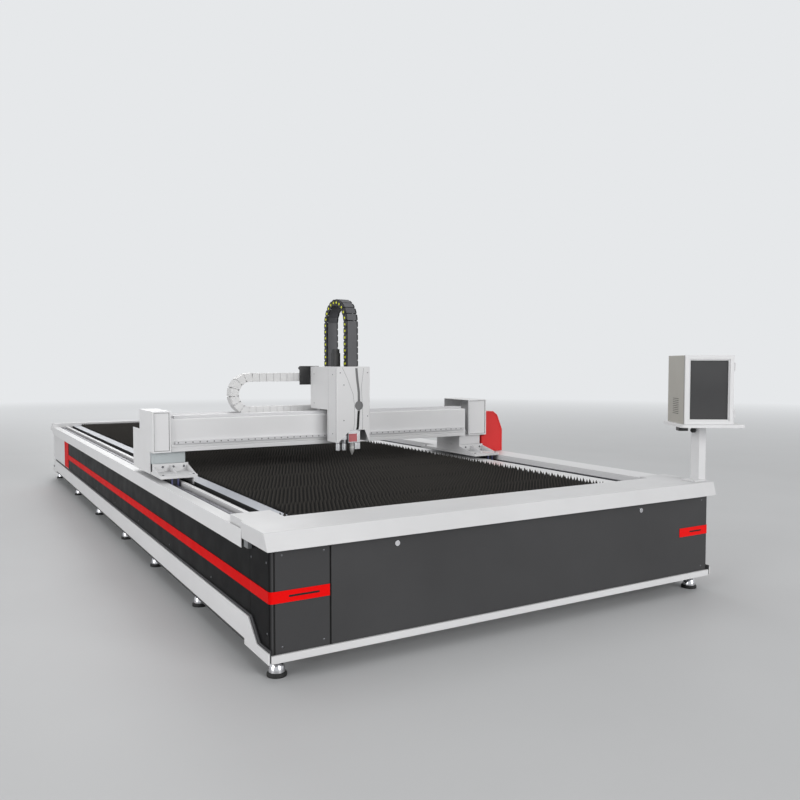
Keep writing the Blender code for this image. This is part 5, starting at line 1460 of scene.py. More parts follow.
@dataclass
class SlatTable:
    """Serrated slats on their bearers: thin plates across the bed with pointed teeth."""

    left: float = 0.319
    right: float = 2.497
    start: float = 0.3605
    end: float = 7.4595
    low: float = 0.5905
    root: float = 0.656
    top: float = 0.6899
    thickness: float = 0.002
    slat_pitch: float = 0.060
    tooth_pitch: float = 0.0255
    tip_margin: float = 0.004
    root_margin: float = 0.001
    end_margin: float = 0.0005
    module: float = 0.540
    first_module: float = 0.765
    first_share: float = 0.3
    shift_share: float = 0.45
    corner_left: float = 0.2155
    corner_end: float = 0.515
    corner_teeth: int = 4
    corner_root: float = 0.006
    bearer_shares: tuple[float, ...] = (0.027, 0.5, 0.973)
    bearer_half: float = 0.006
    bearer_heights: Span = (0.5603, 0.602)

    def outline(self, phase: float) -> list[tuple[float, float]]:
        """Outline one slat.

        Args:
            phase: Where the first tip stands beyond the slat's end.

        Returns:
            The outline.
        """
        points = [(self.left, self.low), (self.right, self.low), (self.right, self.root)]
        tip = self.left + phase
        tips = []
        while tip < self.right - self.tip_margin:
            if tip > self.left + self.tip_margin:
                tips.append(tip)
            tip += self.tooth_pitch
        for place in reversed(tips):
            points.append((place, self.top))
            root = place - self.tooth_pitch / 2
            if root > self.left + self.root_margin:
                points.append((root, self.root))
        if points[-1][0] > self.left + self.end_margin:
            points.append((self.left, self.root))
        return points

    def build(self) -> None:
        """Stand every slat in its place over the bearers, with the few teeth beside the front ones."""
        shape = Shape()
        count = int((self.end - self.start) / self.slat_pitch)
        for index in range(count + 1):
            y = self.start + index * self.slat_pitch
            if y + self.thickness > self.end:
                break
            bay = math.floor((y - self.first_module) / self.module)
            phase = (self.first_share + self.shift_share * bay) % 1.0 * self.tooth_pitch
            shape.prism(Axis.Y, self.outline(phase), y, y + self.thickness)
            if y < self.corner_end:
                base = self.root + self.corner_root
                for share in range(self.corner_teeth):
                    foot = self.corner_left + share * self.tooth_pitch
                    tooth = [(foot, base), (foot + self.tooth_pitch, base),
                             (foot + self.tooth_pitch / 2, self.top)]
                    shape.prism(Axis.Y, tooth, y, y + self.thickness)
        table_low, table_high = span_of("slat_table")
        for share in self.bearer_shares:
            x = self.left + (self.right - self.left) * share
            shape.block((x - self.bearer_half, x + self.bearer_half),
                        (table_low.y + HAIR, table_high.y - HAIR), self.bearer_heights)
        shape.emit("slat_table_look", PALETTE.scorched, Body.BED, Slot.SCORCHED, ("slat_table",), 20.0)


@dataclass
class Gantry:
    """Feet, drives, beam, end covers, guard and the white cable chain."""

    plate_low: float = 0.68935
    plate_top: float = 0.7093
    flange_top: float = 0.7643
    foot_spans: dict[str, Span] = field(default_factory=lambda: {"left": (0.0063, 0.2513),
                                                                 "right": (2.570, 2.815)})
    apron: tuple[Span, Span] = ((0.2245, 0.2285), (1.962, 2.600))
    apron_low: float = 0.640
    cheek: float = 0.0152
    cheek_run: Span = (2.2106, 2.5596)
    cheek_top: float = 0.8444
    flange_bolts: tuple[float, ...] = (0.2, 0.5, 0.8)
    flange_bolt_place: Place = (0.018, 2.190, 0.742)
    plate_bolts: Span = (1.985, 2.75)
    plate_bolt_inset: float = 0.02
    bolt_radius: float = 0.008
    bolt_height: float = 0.006
    rail_middles: dict[str, float] = field(default_factory=lambda: {"left": 0.103, "right": 2.738})
    wiper_places: Span = (1.974, 2.394)
    wiper_reach: Span = (0.0158, 0.025)
    wiper_depth: float = 0.0056
    wiper_heights: Span = (0.630, 0.688)
    beam_span: Span = (0.155, 2.595)
    rail_face: float = 2.1547
    rail_height: float = 0.909
    plug_pitch: float = 0.0508
    plug_inset: float = 0.02
    plug_radius: float = 0.0052
    plug_depth: float = 0.0004
    cover_fronts: dict[str, float] = field(default_factory=lambda: {"end_cover_left": 2.155,
                                                                    "end_cover_right": 2.172})
    cover_low: float = 0.845
    joint_inset: float = 0.0103
    joint_width: float = 0.0022
    joint_depths: Span = (0.0045, 0.0059)
    chain_front: float = 2.4623
    chain_width: float = 0.100
    chain_thickness: float = 0.067
    chain_axis: float = 1.2238
    path: ChainPath = ChainPath(1.3675, 0.8175, 1.340, 0.129, 0.0565)

    def feet(self) -> None:
        """Split each foot into guide blocks, plate with flange and pedestal, and bolt it."""
        bolts = Shape()
        for side, (x0, x1) in self.foot_spans.items():
            node = f"foot_{side}"
            plate = Shape().copy(node).keep_below(self.flange_top).keep_above(self.plate_low).soften(0.002)
            if side == "left":
                plate.block(*self.apron, (self.apron_low, self.plate_low - HAIR))
            plate.emit(f"{node}_look", PALETTE.white_side, Body.GANTRY, Slot.PRIMER, (node,))
            Shape().copy(node).keep_below(self.plate_low - HAIR / 3).soften(0.0015).emit(
                f"guide_blocks_{side}", PALETTE.block_steel, Body.GANTRY, Slot.STEEL)
            finish = PALETTE.blue_grey if side == "left" else PALETTE.white_side
            pedestal = Shape().copy(node).keep_above(self.flange_top + HAIR / 3).soften(0.003)
            if side == "left":
                pedestal.block((x0 + HAIR, x0 + self.cheek), self.cheek_run,
                               (self.flange_top + HAIR, self.cheek_top))
            pedestal.emit(f"pedestal_{side}", finish, Body.GANTRY, Slot.PRIMER)
            self.bolt(bolts, x0, x1)
            self.wipe(side)
        bolts.emit("foot_bolts", PALETTE.dark_steel, Body.GANTRY, Slot.STEEL)

    def bolt(self, bolts: Shape, x0: float, x1: float) -> None:
        """Set the bolts of one foot.

        Args:
            bolts: Shape that takes the bolts.
            x0: Low side of the foot.
            x1: High side of the foot.
        """
        shift, y, z = self.flange_bolt_place
        for share in self.flange_bolts:
            x = x0 + (x1 - x0) * share
            bolts.screw((x + shift, y, z), Axis.Y, self.bolt_radius, -self.bolt_height)
        for y in self.plate_bolts:
            for x in (x0 + self.plate_bolt_inset, x1 - self.plate_bolt_inset):
                bolts.screw((x, y, self.plate_top), Axis.Z, self.bolt_radius, self.bolt_height)

    def wipe(self, side: str) -> None:
        """Hang the wipers over one guide rail.

        Args:
            side: Side of the rail, left or right.
        """
        wipers = Shape()
        rail = self.rail_middles[side]
        near, far = self.wiper_reach
        for y in self.wiper_places:
            for xs in ((rail - far, rail - near), (rail + near, rail + far)):
                wipers.block(xs, (y, y + self.wiper_depth), self.wiper_heights)
        wipers.emit(f"rail_wipers_{side}", PALETTE.blue, Body.GANTRY, Slot.BLACK_NYLON)

    def drives(self) -> None:
        """Dress both servo motors and their pinions, and plug their cables' sockets in."""
        sockets = Shape()
        for side in ("left", "right"):
            dress(f"drive_{side}", PALETTE.motor, Body.GANTRY, Slot.MOTOR, 0.0015)
            low, high = span_of(f"drive_{side}")
            x, face = (low.x + high.x) / 2, (low.y + high.y) / 2 + 0.0350
            for half, reach, down, up in ((0.014, 0.017, 0.062, 0.022), (0.010, 0.013, 0.105, 0.075)):
                sockets.block((x - half, x + half), (face, face + reach), (high.z - down, high.z - up))
        sockets.soften(0.0025).emit("drive_sockets", PALETTE.plastic, Body.GANTRY, Slot.MOTOR)
        dress("pinion_left", PALETTE.machined, Body.PINION_LEFT, Slot.STEEL, 0.0)
        dress("pinion_right", PALETTE.machined, Body.PINION_RIGHT, Slot.STEEL, 0.0)

    def beam(self) -> None:
        """Dress the beam, its rails and its rack, and lay grey discs of painted shade in the row of screw
        holes.
        """
        dress("beam", PALETTE.white, Body.GANTRY, Slot.WHITE)
        for node in ("beam_rail_bottom", "beam_rail_top", "beam_rack"):
            dress(node, PALETTE.pale_rail, Body.GANTRY, Slot.STEEL, 0.001)
        # Grey discs of painted shade stand for the shade in the screw holes.
        plugs = Shape()
        start, end = self.beam_span
        count = int((end - start - 2 * self.plug_inset) / self.plug_pitch)
        for index in range(count + 1):
            x = start + self.plug_inset + index * self.plug_pitch
            plugs.disc(self.plug_radius, self.rail_face - self.plug_depth, self.rail_face,
                       (x, 0.0, self.rail_height), Axis.Y, 10)
        plugs.emit("beam_rail_hole_shade", PALETTE.slot_shade_grey, Body.GANTRY, Slot.STEEL, (), 20.0)

    def covers(self) -> None:
        """Dress the end covers and the guard, with a dark line of painted shade in the joint round each front
        plate.
        """
        # Black painted shade along the joint round each front plate.
        joint = Shape()
        inset = self.joint_inset
        near, far = self.joint_depths
        for node, front in self.cover_fronts.items():
            dress(node, PALETTE.white, Body.GANTRY, Slot.WHITE)
            low, high = span_of(node)
            base = max(low.z, self.cover_low)
            for xs, zs in ring((low.x + inset, high.x - inset), (base + inset, high.z - inset),
                               self.joint_width):
                joint.block(xs, (front + near, front + far), zs)
        joint.emit("cover_joint_shade", PALETTE.seam, Body.GANTRY, Slot.WHITE)
        dress("guard_right", PALETTE.guard_red, Body.GANTRY, Slot.RED, 0.0015)
        dress("chain_tray", PALETTE.white, Body.GANTRY, Slot.WHITE, 0.0008)

    def chain(self) -> None:
        """Link the white cable chain in three lengths: the fixed run, and the bend and the moving run, which
        on the machine follow the carriage at half and full travel; none is attached to a body here.
        """
        lengths = {"fixed": Shape(), "bend": Shape(), "moving": Shape()}
        middle = self.chain_front + self.chain_width / 2
        play = 0.001
        for link in self.path.links():
            part = Shape().chain_link(self.path.pitch, self.chain_thickness, self.chain_width - play)
            turn = Matrix(((link.step_along, 0.0, -link.step_height, link.along),
                           (0.0, 1.0, 0.0, middle),
                           (link.step_height, 0.0, link.step_along, self.chain_axis + link.height),
                           (0.0, 0.0, 0.0, 1.0)))
            if link.along < self.path.bend:
                lengths["bend"].add(part, turn)
            else:
                lengths["fixed" if link.height < 0.0 else "moving"].add(part, turn)
        for name, shape in lengths.items():
            piece = shape.emit(f"x_chain_{name}", PALETTE.white_nylon, None, Slot.WHITE_NYLON, ("x_chain",))
            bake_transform(piece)

    def build(self) -> None:
        """Build everything that rolls along the bed."""
        self.feet()
        self.drives()
        self.beam()
        self.covers()
        self.chain()


@dataclass
class Carriage:
    """Cutting carriage on the beam with its cover, block, motor, bracket and upright chain."""

    left: float = 1.307
    right: float = 1.585
    front: float = 1.967
    cheek: float = 2.140
    back: float = 2.447
    low: float = 0.865
    shelf: float = 1.106
    top: float = 1.436
    wall: float = 0.003
    edge: float = 0.007
    notch: tuple[tuple[float, float], ...] = ((1.317, 0.865), (1.417, 0.957), (1.539, 0.957), (1.579, 0.865))
    slit: tuple[tuple[float, float], ...] = ((1.4733, 0.950), (1.4811, 0.9814), (1.4873, 1.0784),
                                             (1.4905, 1.120), (1.4909, 1.1413), (1.4895, 1.2429),
                                             (1.4770, 1.3392), (1.4690, 1.424))
    slit_half: float = 0.0105
    eye: tuple[float, float] = (1.4909, 1.1413)
    eye_radius: float = 0.035
    upper_backing: tuple[Span, Span] = ((1.450, 1.516), (1.182, 1.430))
    lower_backing: tuple[Span, Span] = ((1.456, 1.510), (0.960, 1.101))
    backing_depth: float = 0.002
    crease_half: float = 0.0012
    side_creases: Span = (1.990, 2.120)
    side_crease_width: float = 0.0016
    side_crease_inset: float = 0.02
    face_screws: tuple[Span, ...] = ((1.3640, 1.2992), (1.3630, 1.0321), (1.3330, 1.390), (1.5640, 1.390),
                                     (1.5640, 1.060))
    side_screws: tuple[Span, ...] = ((2.045, 1.377), (2.380, 1.377), (2.045, 0.930), (2.380, 1.150))
    seam_left: tuple[tuple[float, float], ...] = ((1.4436, 0.9581), (1.4525, 1.010), (1.4541, 1.0711),
                                                  (1.4510, 1.150), (1.4419, 1.2242), (1.3960, 1.340),
                                                  (1.3500, 1.430))
    seam_right: tuple[tuple[float, float], ...] = ((1.5195, 0.9622), (1.5223, 1.046), (1.5167, 1.168),
                                                   (1.5119, 1.2895), (1.5319, 1.4259))
    chain_span: Span = (1.416, 1.518)
    chain_thickness: float = 0.050
    path: ChainPath = ChainPath(-1.4366, -1.760, -1.2350, 0.173, 0.0505)
    chain_middle: float = 2.228
    leg_offset: float = 0.146
    leg_height: float = 1.6
    front_opening: float = 0.204
    rear_opening: Span = (0.144, 0.202)
    plate_inset: Span = (0.0012, 0.0066)
    lap_inset: Span = (0.0068, 0.0115)
    bar_inset: float = 0.0120
    bar_depths: Span = (0.0050, 0.0003)
    plug_radius: float = 0.0095
    plug_depths: Span = (0.0016, 0.0001)
    motor: Place = (1.384, 2.150, 0.031)
    motor_span: Span = (1.4003, 1.570)

    def cover(self) -> None:
        """Fold the cover: round upright edges, a notch below, and a curved slit with a round eye."""
        outline = [(self.front, self.low), (self.cheek, self.low), (self.cheek, self.shelf),
                   (self.back, self.shelf), (self.back, self.top), (self.front, self.top)]
        body = Shape().prism(Axis.X, outline, self.left, self.right)
        tall = 0.3
        body.soften_where(self.edge, 4, lambda edge: abs(edge.verts[0].co.z - edge.verts[1].co.z) > tall
                          and edge.verts[0].co.y < self.front + HAIR)
        body.soften(0.0015)
        wall, over, gap, lap = self.wall, 0.01, 0.006, 0.004
        through = (self.front - over, self.front + wall + over)
        lid = (self.top - over, self.top + over)
        notch = [(self.notch[0][0], self.low - over), *self.notch, (self.notch[3][0], self.low - over)]
        x, y, half = self.motor
        chain_low, chain_high = self.chain_span
        rear_low, rear_high = self.rear_opening
        hollow = Shape().block((self.left + wall, self.right - wall), (self.front + wall, self.back - wall),
                               (self.low - over, self.top - wall))
        front_opening = Shape().block((x - half - gap, chain_high + gap),
                                      (self.chain_middle - self.front_opening, y + half + gap), lid)
        rear_opening = Shape().block((chain_low - lap, chain_high + lap),
                                     (self.chain_middle + rear_low, self.chain_middle + rear_high), lid)
        body.minus(hollow, Shape().prism(Axis.Y, notch, *through),
                   Shape().prism(Axis.Y, ribbon(self.slit, self.slit_half), *through),
                   Shape().disc(self.eye_radius, *through, (self.eye[0], 0.0, self.eye[1]), Axis.Y, 40),
                   front_opening, rear_opening)
        body.emit("head_cover_look", PALETTE.white, Body.HEAD, Slot.WHITE, ("head_cover",), 30.0)

    def face(self) -> None:
        """Lay what shows on the cover's face: the backing in the slit, grey above and black below as painted
        shade, grey painted shade along the seam lines, and the screws.
        """
        back = self.front + self.wall
        deep = (back + HAIR, back + self.backing_depth)
        # The slit's backing is painted shade: grey in the upper part, black in the lower.
        upper = Shape().block(self.upper_backing[0], deep, self.upper_backing[1])
        upper.disc(self.eye_radius + self.wall, *deep, (self.eye[0], 0.0, self.eye[1]), Axis.Y, 40)
        upper.emit("slit_backing_shade_upper", PALETTE.slot_shade_grey, Body.HEAD, Slot.FRAME)
        lower = Shape().block(self.lower_backing[0], deep, self.lower_backing[1])
        lower.emit("slit_backing_shade_lower", PALETTE.seam, Body.HEAD, Slot.FRAME)
        proud, sunk = 0.0003, 0.0006
        # Grey painted shade along the pressed seam lines and the side creases.
        seams = Shape()
        for points in (self.seam_left, self.seam_right):
            seams.prism(Axis.Y, ribbon(points, self.crease_half), self.front - proud, self.front + sunk)
        inset = self.side_crease_inset
        for y in self.side_creases:
            seams.block((self.left - 0.0002, self.left + 0.0005), (y, y + self.side_crease_width),
                        (self.low + inset, self.top - inset))
        seams.emit("cover_seam_shade", PALETTE.crease, Body.HEAD, Slot.WHITE)
        radius, height = 0.0045, 0.0016
        screws = Shape()
        for x, z in self.face_screws:
            screws.screw((x, self.front, z), Axis.Y, radius, -height)
        for y, z in self.side_screws:
            screws.screw((self.left, y, z), Axis.X, radius, -height)
            screws.screw((self.right, y, z), Axis.X, radius, height)
        screws.emit("cover_screws", PALETTE.dark_steel, Body.HEAD, Slot.STEEL)

    def inside(self) -> None:
        """Dress the saddle, the block, the lift motor and the chain's bracket."""
        dress("saddle", PALETTE.frame, Body.HEAD, Slot.FRAME, 0.0015)
        dress("head_block", PALETTE.frame, Body.HEAD, Slot.FRAME)
        x, y, half = self.motor
        low, high = self.motor_span
        flange, cap = 0.012, 0.030
        motor = Shape().block((x - half, x + half), (y - half, y + half), (low, low + flange))
        for step, bottom, top in ((0.002, low + flange + 0.0002, high - cap),
                                  (0.006, high - cap + 0.0002, high)):
            side = half - step
            motor.prism(Axis.Z, rounded(x - side, x + side, y - side, y + side, 0.008, 4), bottom, top)
        motor.soften(0.0012)
        motor.emit("z_motor_look", PALETTE.motor, Body.HEAD, Slot.MOTOR, ("z_motor",))
        dress("chain_bracket", PALETTE.plastic, Body.HEAD, Slot.MOTOR)

    def chain(self) -> None:
        """Link the upright cable chain with dark side plates, grey bars and yellow plugs."""
        width = self.chain_span[1] - self.chain_span[0]
        middle = sum(self.chain_span) / 2
        plates, bars, plugs = Shape(), Shape(), Shape()
        for link in self.path.links():
            turn = Matrix(((0.0, 1.0, 0.0, middle),
                           (-link.step_height, 0.0, -link.step_along, self.chain_middle - link.height),
                           (-link.step_along, 0.0, link.step_height, -link.along),
                           (0.0, 0.0, 0.0, 1.0)))
            plates.add(self.cheeks(width), turn)
            bars.add(self.pair(width, bars=True), turn)
            plugs.add(self.pair(width, bars=False), turn)
        for name, shape, finish, replaced in (("plates", plates, PALETTE.black_nylon, ("z_chain",)),
                                              ("bars", bars, PALETTE.grey_nylon, ("z_chain",)),
                                              ("plugs", plugs, PALETTE.yellow, ())):
            piece = shape.emit(f"z_chain_{name}", finish, None, Slot.BLACK_NYLON, replaced)
            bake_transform(piece)

    def cheeks(self, width: float) -> Shape:
        """Cut both side plates of one link, with the laps that the next link turns on.

        Args:
            width: Width of the chain.

        Returns:
            The plates about the origin.
        """
        pitch, thick = self.path.pitch, self.chain_thickness
        half = thick / 2 - 0.0006
        lap = thick * 0.36
        body = rounded(-pitch * 0.50, pitch * 0.44, -half, half, 0.012, 4)
        tongue = rounded(pitch * 0.22, pitch * 0.66, -lap, lap, 0.012, 4)
        shape = Shape()
        for side in (-1, 1):
            for outline, (outer, inner) in ((body, self.plate_inset), (tongue, self.lap_inset)):
                low, high = sorted((side * (width / 2 - outer), side * (width / 2 - inner)))
                shape.prism(Axis.Y, outline, low, high)
        return shape

    def pair(self, width: float, bars: bool) -> Shape:
        """Make the two crossbars or the two pivot plugs of one link.

        Args:
            width: Width of the chain.
            bars: Whether it is the bars.

        Returns:
            The bars or plugs about the origin.
        """
        pitch, thick = self.path.pitch, self.chain_thickness
        shape = Shape()
        for side in (-1, 1):
            if bars:
                low, high = sorted(side * (thick / 2 - depth) for depth in self.bar_depths)
                shape.block((-pitch * 0.49, pitch * 0.49),
                            (self.bar_inset - width / 2, width / 2 - self.bar_inset),
                            (low, high))
            else:
                low, high = sorted(side * (width / 2 - depth) for depth in self.plug_depths)
                shape.disc(self.plug_radius, low, high, (0.0, 0.0, 0.0), Axis.Y, 12)
        return shape

    def build(self) -> None:
        """Build the carriage."""
        self.cover()
        self.face()
        self.inside()
        self.chain()


@dataclass
class Lift:
    """Slide, laser head and nozzle that rise and lower."""

    middle: float = 1.466
    half: float = 0.051
    depth: Span = (1.9983, 2.0600)
    low: float = 0.8563
    top: float = 1.050
    gas_places: Span = (1.342, 1.392)
    yoke_half: float = 0.012
    yoke_heights: Span = (0.880, 0.9145)
    foot_width: float = 0.045
    foot_low: float = 0.806
    foot_inset: float = 0.001
    collar: tuple[Span, ...] = ((0.026, 1.110), (0.023, 1.113), (0.023, 1.119), (0.026, 1.122),
                                (0.026, 1.192), (0.021, 1.200), (0.0, 1.200))
    cylinder: tuple[Span, ...] = ((0.0, 0.800), (0.015, 0.800), (0.018, 0.803), (0.018, 0.846),
                                  (0.0165, 0.848), (0.0165, 0.853), (0.018, 0.855), (0.018, 0.8797),
                                  (0.0, 0.8797))
    fitting: tuple[Span, ...] = ((0.0, 0.9148), (0.012, 0.9148), (0.012, 0.927), (0.007, 0.930), (0.0, 0.930))
    plate_sides: Span = (0.047, 0.022)
    plate_heights: Span = (0.866, 0.927)
    plate_depth: float = 0.003
    ceramic: tuple[Span, ...] = ((0.0, 0.8560), (0.019, 0.8560), (0.019, 0.832), (0.0175, 0.830),
                                 (0.0175, 0.826), (0.019, 0.824))
    cone: tuple[Span, ...] = ((0.019, 0.036), (0.014, 0.022), (0.009, 0.012), (0.004, 0.0), (0.0012, 0.0),
                              (0.0012, 0.004), (0.0, 0.004))

    def head(self) -> None:
        """Build the laser head: milled body, collimator, gas cylinders on their yoke and foot block."""
        axis_y = sum(self.depth) / 2
        left, right = self.middle - self.half, self.middle + self.half
        front, back = self.depth
        body = Shape().block((left, right), self.depth, (self.low, self.top))
        body.block((self.gas_places[0], left - HAIR), (axis_y - self.yoke_half, axis_y + self.yoke_half),
                   self.yoke_heights)
        body.block((right - self.foot_width, right - HAIR), (front + self.foot_inset, back - self.foot_inset),
                   (self.foot_low, self.low - HAIR))
        body.soften(0.0025, 3)
        base = self.top + HAIR
        body.turn([(0.0, base), (self.collar[0][0], base), *self.collar], (self.middle, axis_y, 0.0))
        body.emit("laser_head_look", PALETTE.machined, Body.LIFT, Slot.STEEL, ("laser_head",))
        gas = Shape()
        for x in self.gas_places:
            gas.turn(self.cylinder, (x, axis_y, 0.0))
            gas.turn(self.fitting, (x, axis_y, 0.0))
        gas.emit("gas_cylinders", PALETTE.machined, Body.LIFT, Slot.STEEL)
        plate = Shape().block((self.middle - self.plate_sides[0], self.middle + self.plate_sides[1]),
                              (front - self.plate_depth, front - HAIR), self.plate_heights).soften(0.001)
        plate.emit("head_window_plate", PALETTE.head_plate, Body.LIFT, Slot.STEEL)

    def nozzle(self) -> None:
        """Turn the ceramic ring and the nozzle below it."""
        low, high = span_of("nozzle")
        profile = list(self.ceramic) + [(radius, low.z + height) for radius, height in self.cone]
        Shape().turn(profile, ((low.x + high.x) / 2, (low.y + high.y) / 2, 0.0)).emit(
            "nozzle_look", PALETTE.nozzle, Body.LIFT, Slot.BRASS, ("nozzle",))

    def build(self) -> None:
        """Build the lift."""
        dress("z_slide", PALETTE.frame, Body.LIFT, Slot.FRAME)
        self.head()
        self.nozzle()


@dataclass
class Console:
    """Post, tray, cabinet, door and screen of the operator's console."""

    post: tuple[float, float] = (3.005, 0.095)
    yaw: float = -33.0
    side: float = 0.150
    half_depth: float = 0.170
    low: float = 1.0756
    high: float = 1.5106
    door_front: float = -0.1903
    window: float = 0.126
    window_margin: float = 0.0243
    step_width: float = 0.008
    step_depths: Span = (0.006, 0.0145)
    gasket_width: float = 0.0035
    gasket_depth: float = 0.005
    switch_box: tuple[Span, Span, Span] = ((-0.165, -0.105), (-0.120, -0.060), (1.030, 1.0550))
    vents: int = 9
    vent_first: float = 0.060
    vent_pitch: float = 0.012
    vent_half: float = 0.06
    vent_height: float = 0.003
    vent_depth: float = 0.0004

    def trim(self) -> None:
        """Add the door frame's step, the gasket behind it, the tray's switch box and the vents, which are
        black strips of painted shade.
        """
        step = Shape()
        zs = (self.low + self.window_margin, self.high - self.window_margin)
        near, far = self.step_depths
        for bar, heights in ring((-self.window + HAIR, self.window - HAIR), zs, self.step_width):
            step.block(bar, (self.door_front + near, self.door_front + far), heights)
        step.soften(0.001).swing(self.yaw, self.post).emit("door_step", PALETTE.white, Body.DOOR, Slot.WHITE)
        seal = Shape()
        proud = 0.0004
        for bar, heights in ring((-self.side - proud, self.side + proud),
                                 (self.low - 0.0002, self.high + HAIR), self.gasket_width):
            seal.block(bar, (-self.half_depth - 0.0001, self.gasket_depth - self.half_depth), heights)
        seal.swing(self.yaw, self.post).emit("case_gasket", PALETTE.rubber, Body.CONSOLE, Slot.BEIGE)
        box = Shape().block(*self.switch_box).soften(0.003)
        box.swing(self.yaw, self.post).emit("tray_switch_box", PALETTE.plastic, Body.CONSOLE, Slot.PLASTIC)
        # Black strips of painted shade stand for the vents.
        vents = Shape()
        for index in range(self.vents):
            z = self.low + self.vent_first + index * self.vent_pitch
            for across in (-1, 1):
                edge = across * self.side
                vents.block(tuple(sorted((edge, edge + across * self.vent_depth))),
                            (-self.vent_half, self.vent_half), (z, z + self.vent_height))
        vents.swing(self.yaw, self.post).emit("case_louvre_shade", PALETTE.seam, Body.CONSOLE, Slot.BEIGE)

    def build(self) -> None:
        """Build the console."""
        dress("console_post", PALETTE.white, Body.BED, Slot.WHITE, 0.004)
        dress("swivel_knob", PALETTE.black_nylon, Body.KNOB, Slot.BLACK_NYLON, 0.0)
        dress("console_tray", PALETTE.white, Body.CONSOLE, Slot.WHITE, 0.003)
        dress("console_case", PALETTE.beige, Body.CONSOLE, Slot.BEIGE)
        dress("console_screen", PALETTE.plastic, Body.CONSOLE, Slot.PLASTIC)
        dress("console_door", PALETTE.white, Body.DOOR, Slot.WHITE)
        dress("console_glass", PALETTE.glass, Body.DOOR, Slot.GLASS, 0.001)
        self.trim()


@dataclass(frozen=True)
class Lamp:
    """Soft square lamp: its name, place, what it points at, its side in metres and its power in watts."""

    name: str
    place: Place
    target: Place
    side: float
    power: float

    def hang(self) -> None:
        """Hang the lamp."""
        data = bpy.data.lights.new(self.name, "AREA")
        data.size = self.side
        data.energy = self.power
        lamp = bpy.data.objects.new(self.name, data)
        lamp.location = self.place
        aim = Vector(self.target) - Vector(self.place)
        lamp.rotation_euler = aim.to_track_quat("-Z", "Y").to_euler()
        bpy.context.scene.collection.objects.link(lamp)


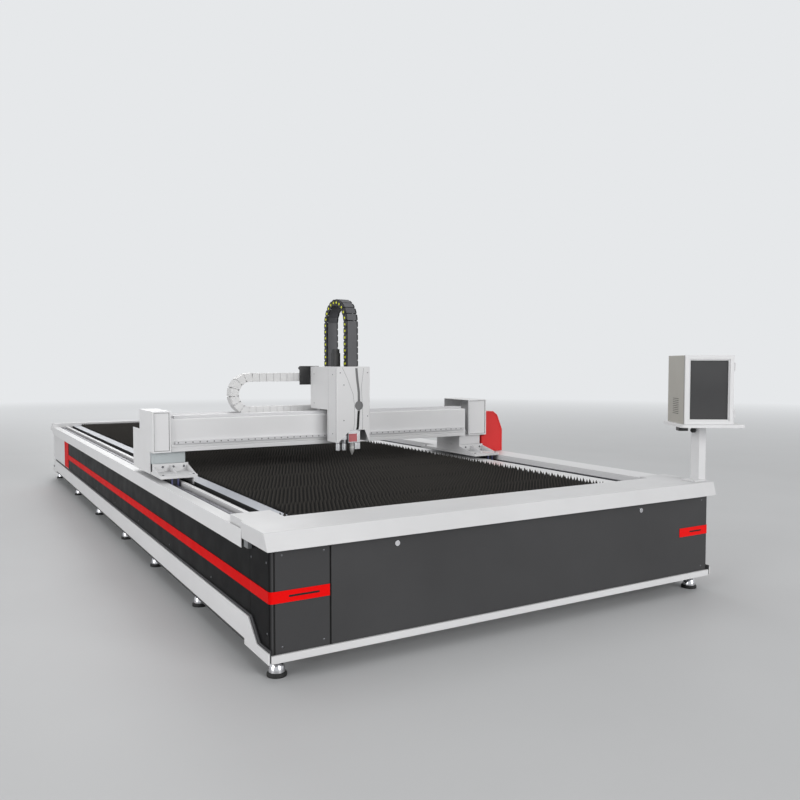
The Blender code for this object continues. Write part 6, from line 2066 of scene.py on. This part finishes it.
@dataclass
class Studio:
    """Camera, floor and lights."""

    camera_place: Place = (-1.2607, -3.3097, 1.4575)
    yaw: float = 30.53
    pitch: float = -2.64
    lens: float = 35.34
    sensor: float = 36.0
    view_end: float = 100.0
    floor_size: float = 60.0
    floor_colour: str = "c8c9ca"
    floor_shade: float = 0.94
    floor_patch: float = 0.8
    floor_roughness: float = 0.55
    sky_colour: str = "e6e8ea"
    haze_reach: Span = (7.0, 26.0)
    soft_colour: str = "f1f1f1"
    soft_strength: float = 0.42
    lamps: tuple[Lamp, ...] = (
        Lamp("key", (7.0, -27.0, 8.5), (0.3, 0.0, 0.6), 12.0, 3300.0),
        Lamp("left", (-17.0, -6.0, 4.8), (0.0, 0.0, 0.5), 9.0, 1250.0),
        Lamp("top", (0.0, 0.0, 14.0), (0.0, 0.0, 0.5), 12.0, 560.0),
        Lamp("rear", (4.0, 18.0, 8.0), (0.0, 0.0, 0.5), 8.0, 500.0),
    )

    def camera(self) -> None:
        """Stand the camera where the photograph was taken from."""
        data = bpy.data.cameras.new("camera")
        data.lens = self.lens
        data.sensor_width = self.sensor
        data.clip_end = self.view_end
        camera = bpy.data.objects.new("camera", data)
        camera.location = ORIGIN + Vector(self.camera_place)
        camera.rotation_euler = (math.radians(90.0 + self.pitch), 0.0, math.radians(-self.yaw))
        bpy.context.scene.collection.objects.link(camera)
        bpy.context.scene.camera = camera

    def concrete(self) -> bpy.types.Material:
        """Make the floor's material, which the camera sees melt into the backdrop far away.

        Returns:
            The material.
        """
        material, tree, shader = start_material("trowelled concrete sealed pale")
        place = place_of(tree)
        base = linear(self.floor_colour)
        colour = mix_colours(tree, noise(tree, place, self.floor_patch, 4.0), base,
                             darkened(base, self.floor_shade))
        tree.links.new(colour, shader.inputs["Base Color"])
        shader.inputs["Roughness"].default_value = self.floor_roughness
        haze = add_node(tree, "ShaderNodeEmission", {}, {"Color": linear(self.sky_colour), "Strength": 1.0})
        reach = add_node(tree, "ShaderNodeVectorMath", {"operation": "LENGTH"}, {0: place}).outputs["Value"]
        far = remap(tree, reach, self.haze_reach)
        seen = add_node(tree, "ShaderNodeLightPath").outputs["Is Camera Ray"]
        share = add_node(tree, "ShaderNodeMath", {"operation": "MULTIPLY"}, {0: far, 1: seen})
        mixed = add_node(tree, "ShaderNodeMixShader", {},
                         {0: share.outputs[0], 1: shader.outputs[0], 2: haze.outputs[0]})
        surface = next(node for node in tree.nodes if node.type == "OUTPUT_MATERIAL")
        tree.links.new(mixed.outputs[0], surface.inputs["Surface"])
        return material

    def floor(self) -> None:
        """Lay a wide pale floor."""
        bm = bmesh.new()
        bmesh.ops.create_grid(bm, x_segments=1, y_segments=1, size=self.floor_size)
        mesh = bpy.data.meshes.new("floor")
        bm.to_mesh(mesh)
        bm.free()
        mesh.materials.append(self.concrete())
        floor = bpy.data.objects.new("floor", mesh)
        bpy.context.scene.collection.objects.link(floor)

    def world(self) -> None:
        """Light the scene with a soft sky. The camera, mirrors and panes see it as a pale backdrop."""
        world = bpy.data.worlds.new("world")
        bpy.context.scene.world = world
        world.use_nodes = True
        tree = world.node_tree
        tree.nodes.clear()
        soft = add_node(tree, "ShaderNodeBackground", {},
                        {"Color": linear(self.soft_colour), "Strength": self.soft_strength})
        seen = add_node(tree, "ShaderNodeBackground", {}, {"Color": linear(self.sky_colour), "Strength": 1.0})
        rays = add_node(tree, "ShaderNodeLightPath").outputs
        mirrored = add_node(tree, "ShaderNodeMath", {"operation": "MAXIMUM"},
                            {0: rays["Is Glossy Ray"], 1: rays["Is Transmission Ray"]})
        straight = add_node(tree, "ShaderNodeMath", {"operation": "MAXIMUM"},
                            {0: rays["Is Camera Ray"], 1: mirrored.outputs[0]})
        mixed = add_node(tree, "ShaderNodeMixShader", {},
                         {0: straight.outputs[0], 1: soft.outputs[0], 2: seen.outputs[0]})
        add_node(tree, "ShaderNodeOutputWorld", {}, {"Surface": mixed.outputs[0]})

    def build(self) -> None:
        """Set the studio up."""
        self.camera()
        self.floor()
        self.world()
        for lamp in self.lamps:
            lamp.hang()
        bpy.context.scene.view_settings.view_transform = "Standard"


def main() -> None:
    """Build every piece of the machine and its studio."""
    logging.basicConfig(level=logging.INFO, format="%(message)s")
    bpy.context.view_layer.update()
    for part in (Bed(), Rails(), SlatTable(), Gantry(), Carriage(), Lift(), Console(), Studio()):
        part.build()
        LOG.info("built %s", type(part).__name__)


if __name__ == "__main__":
    main()
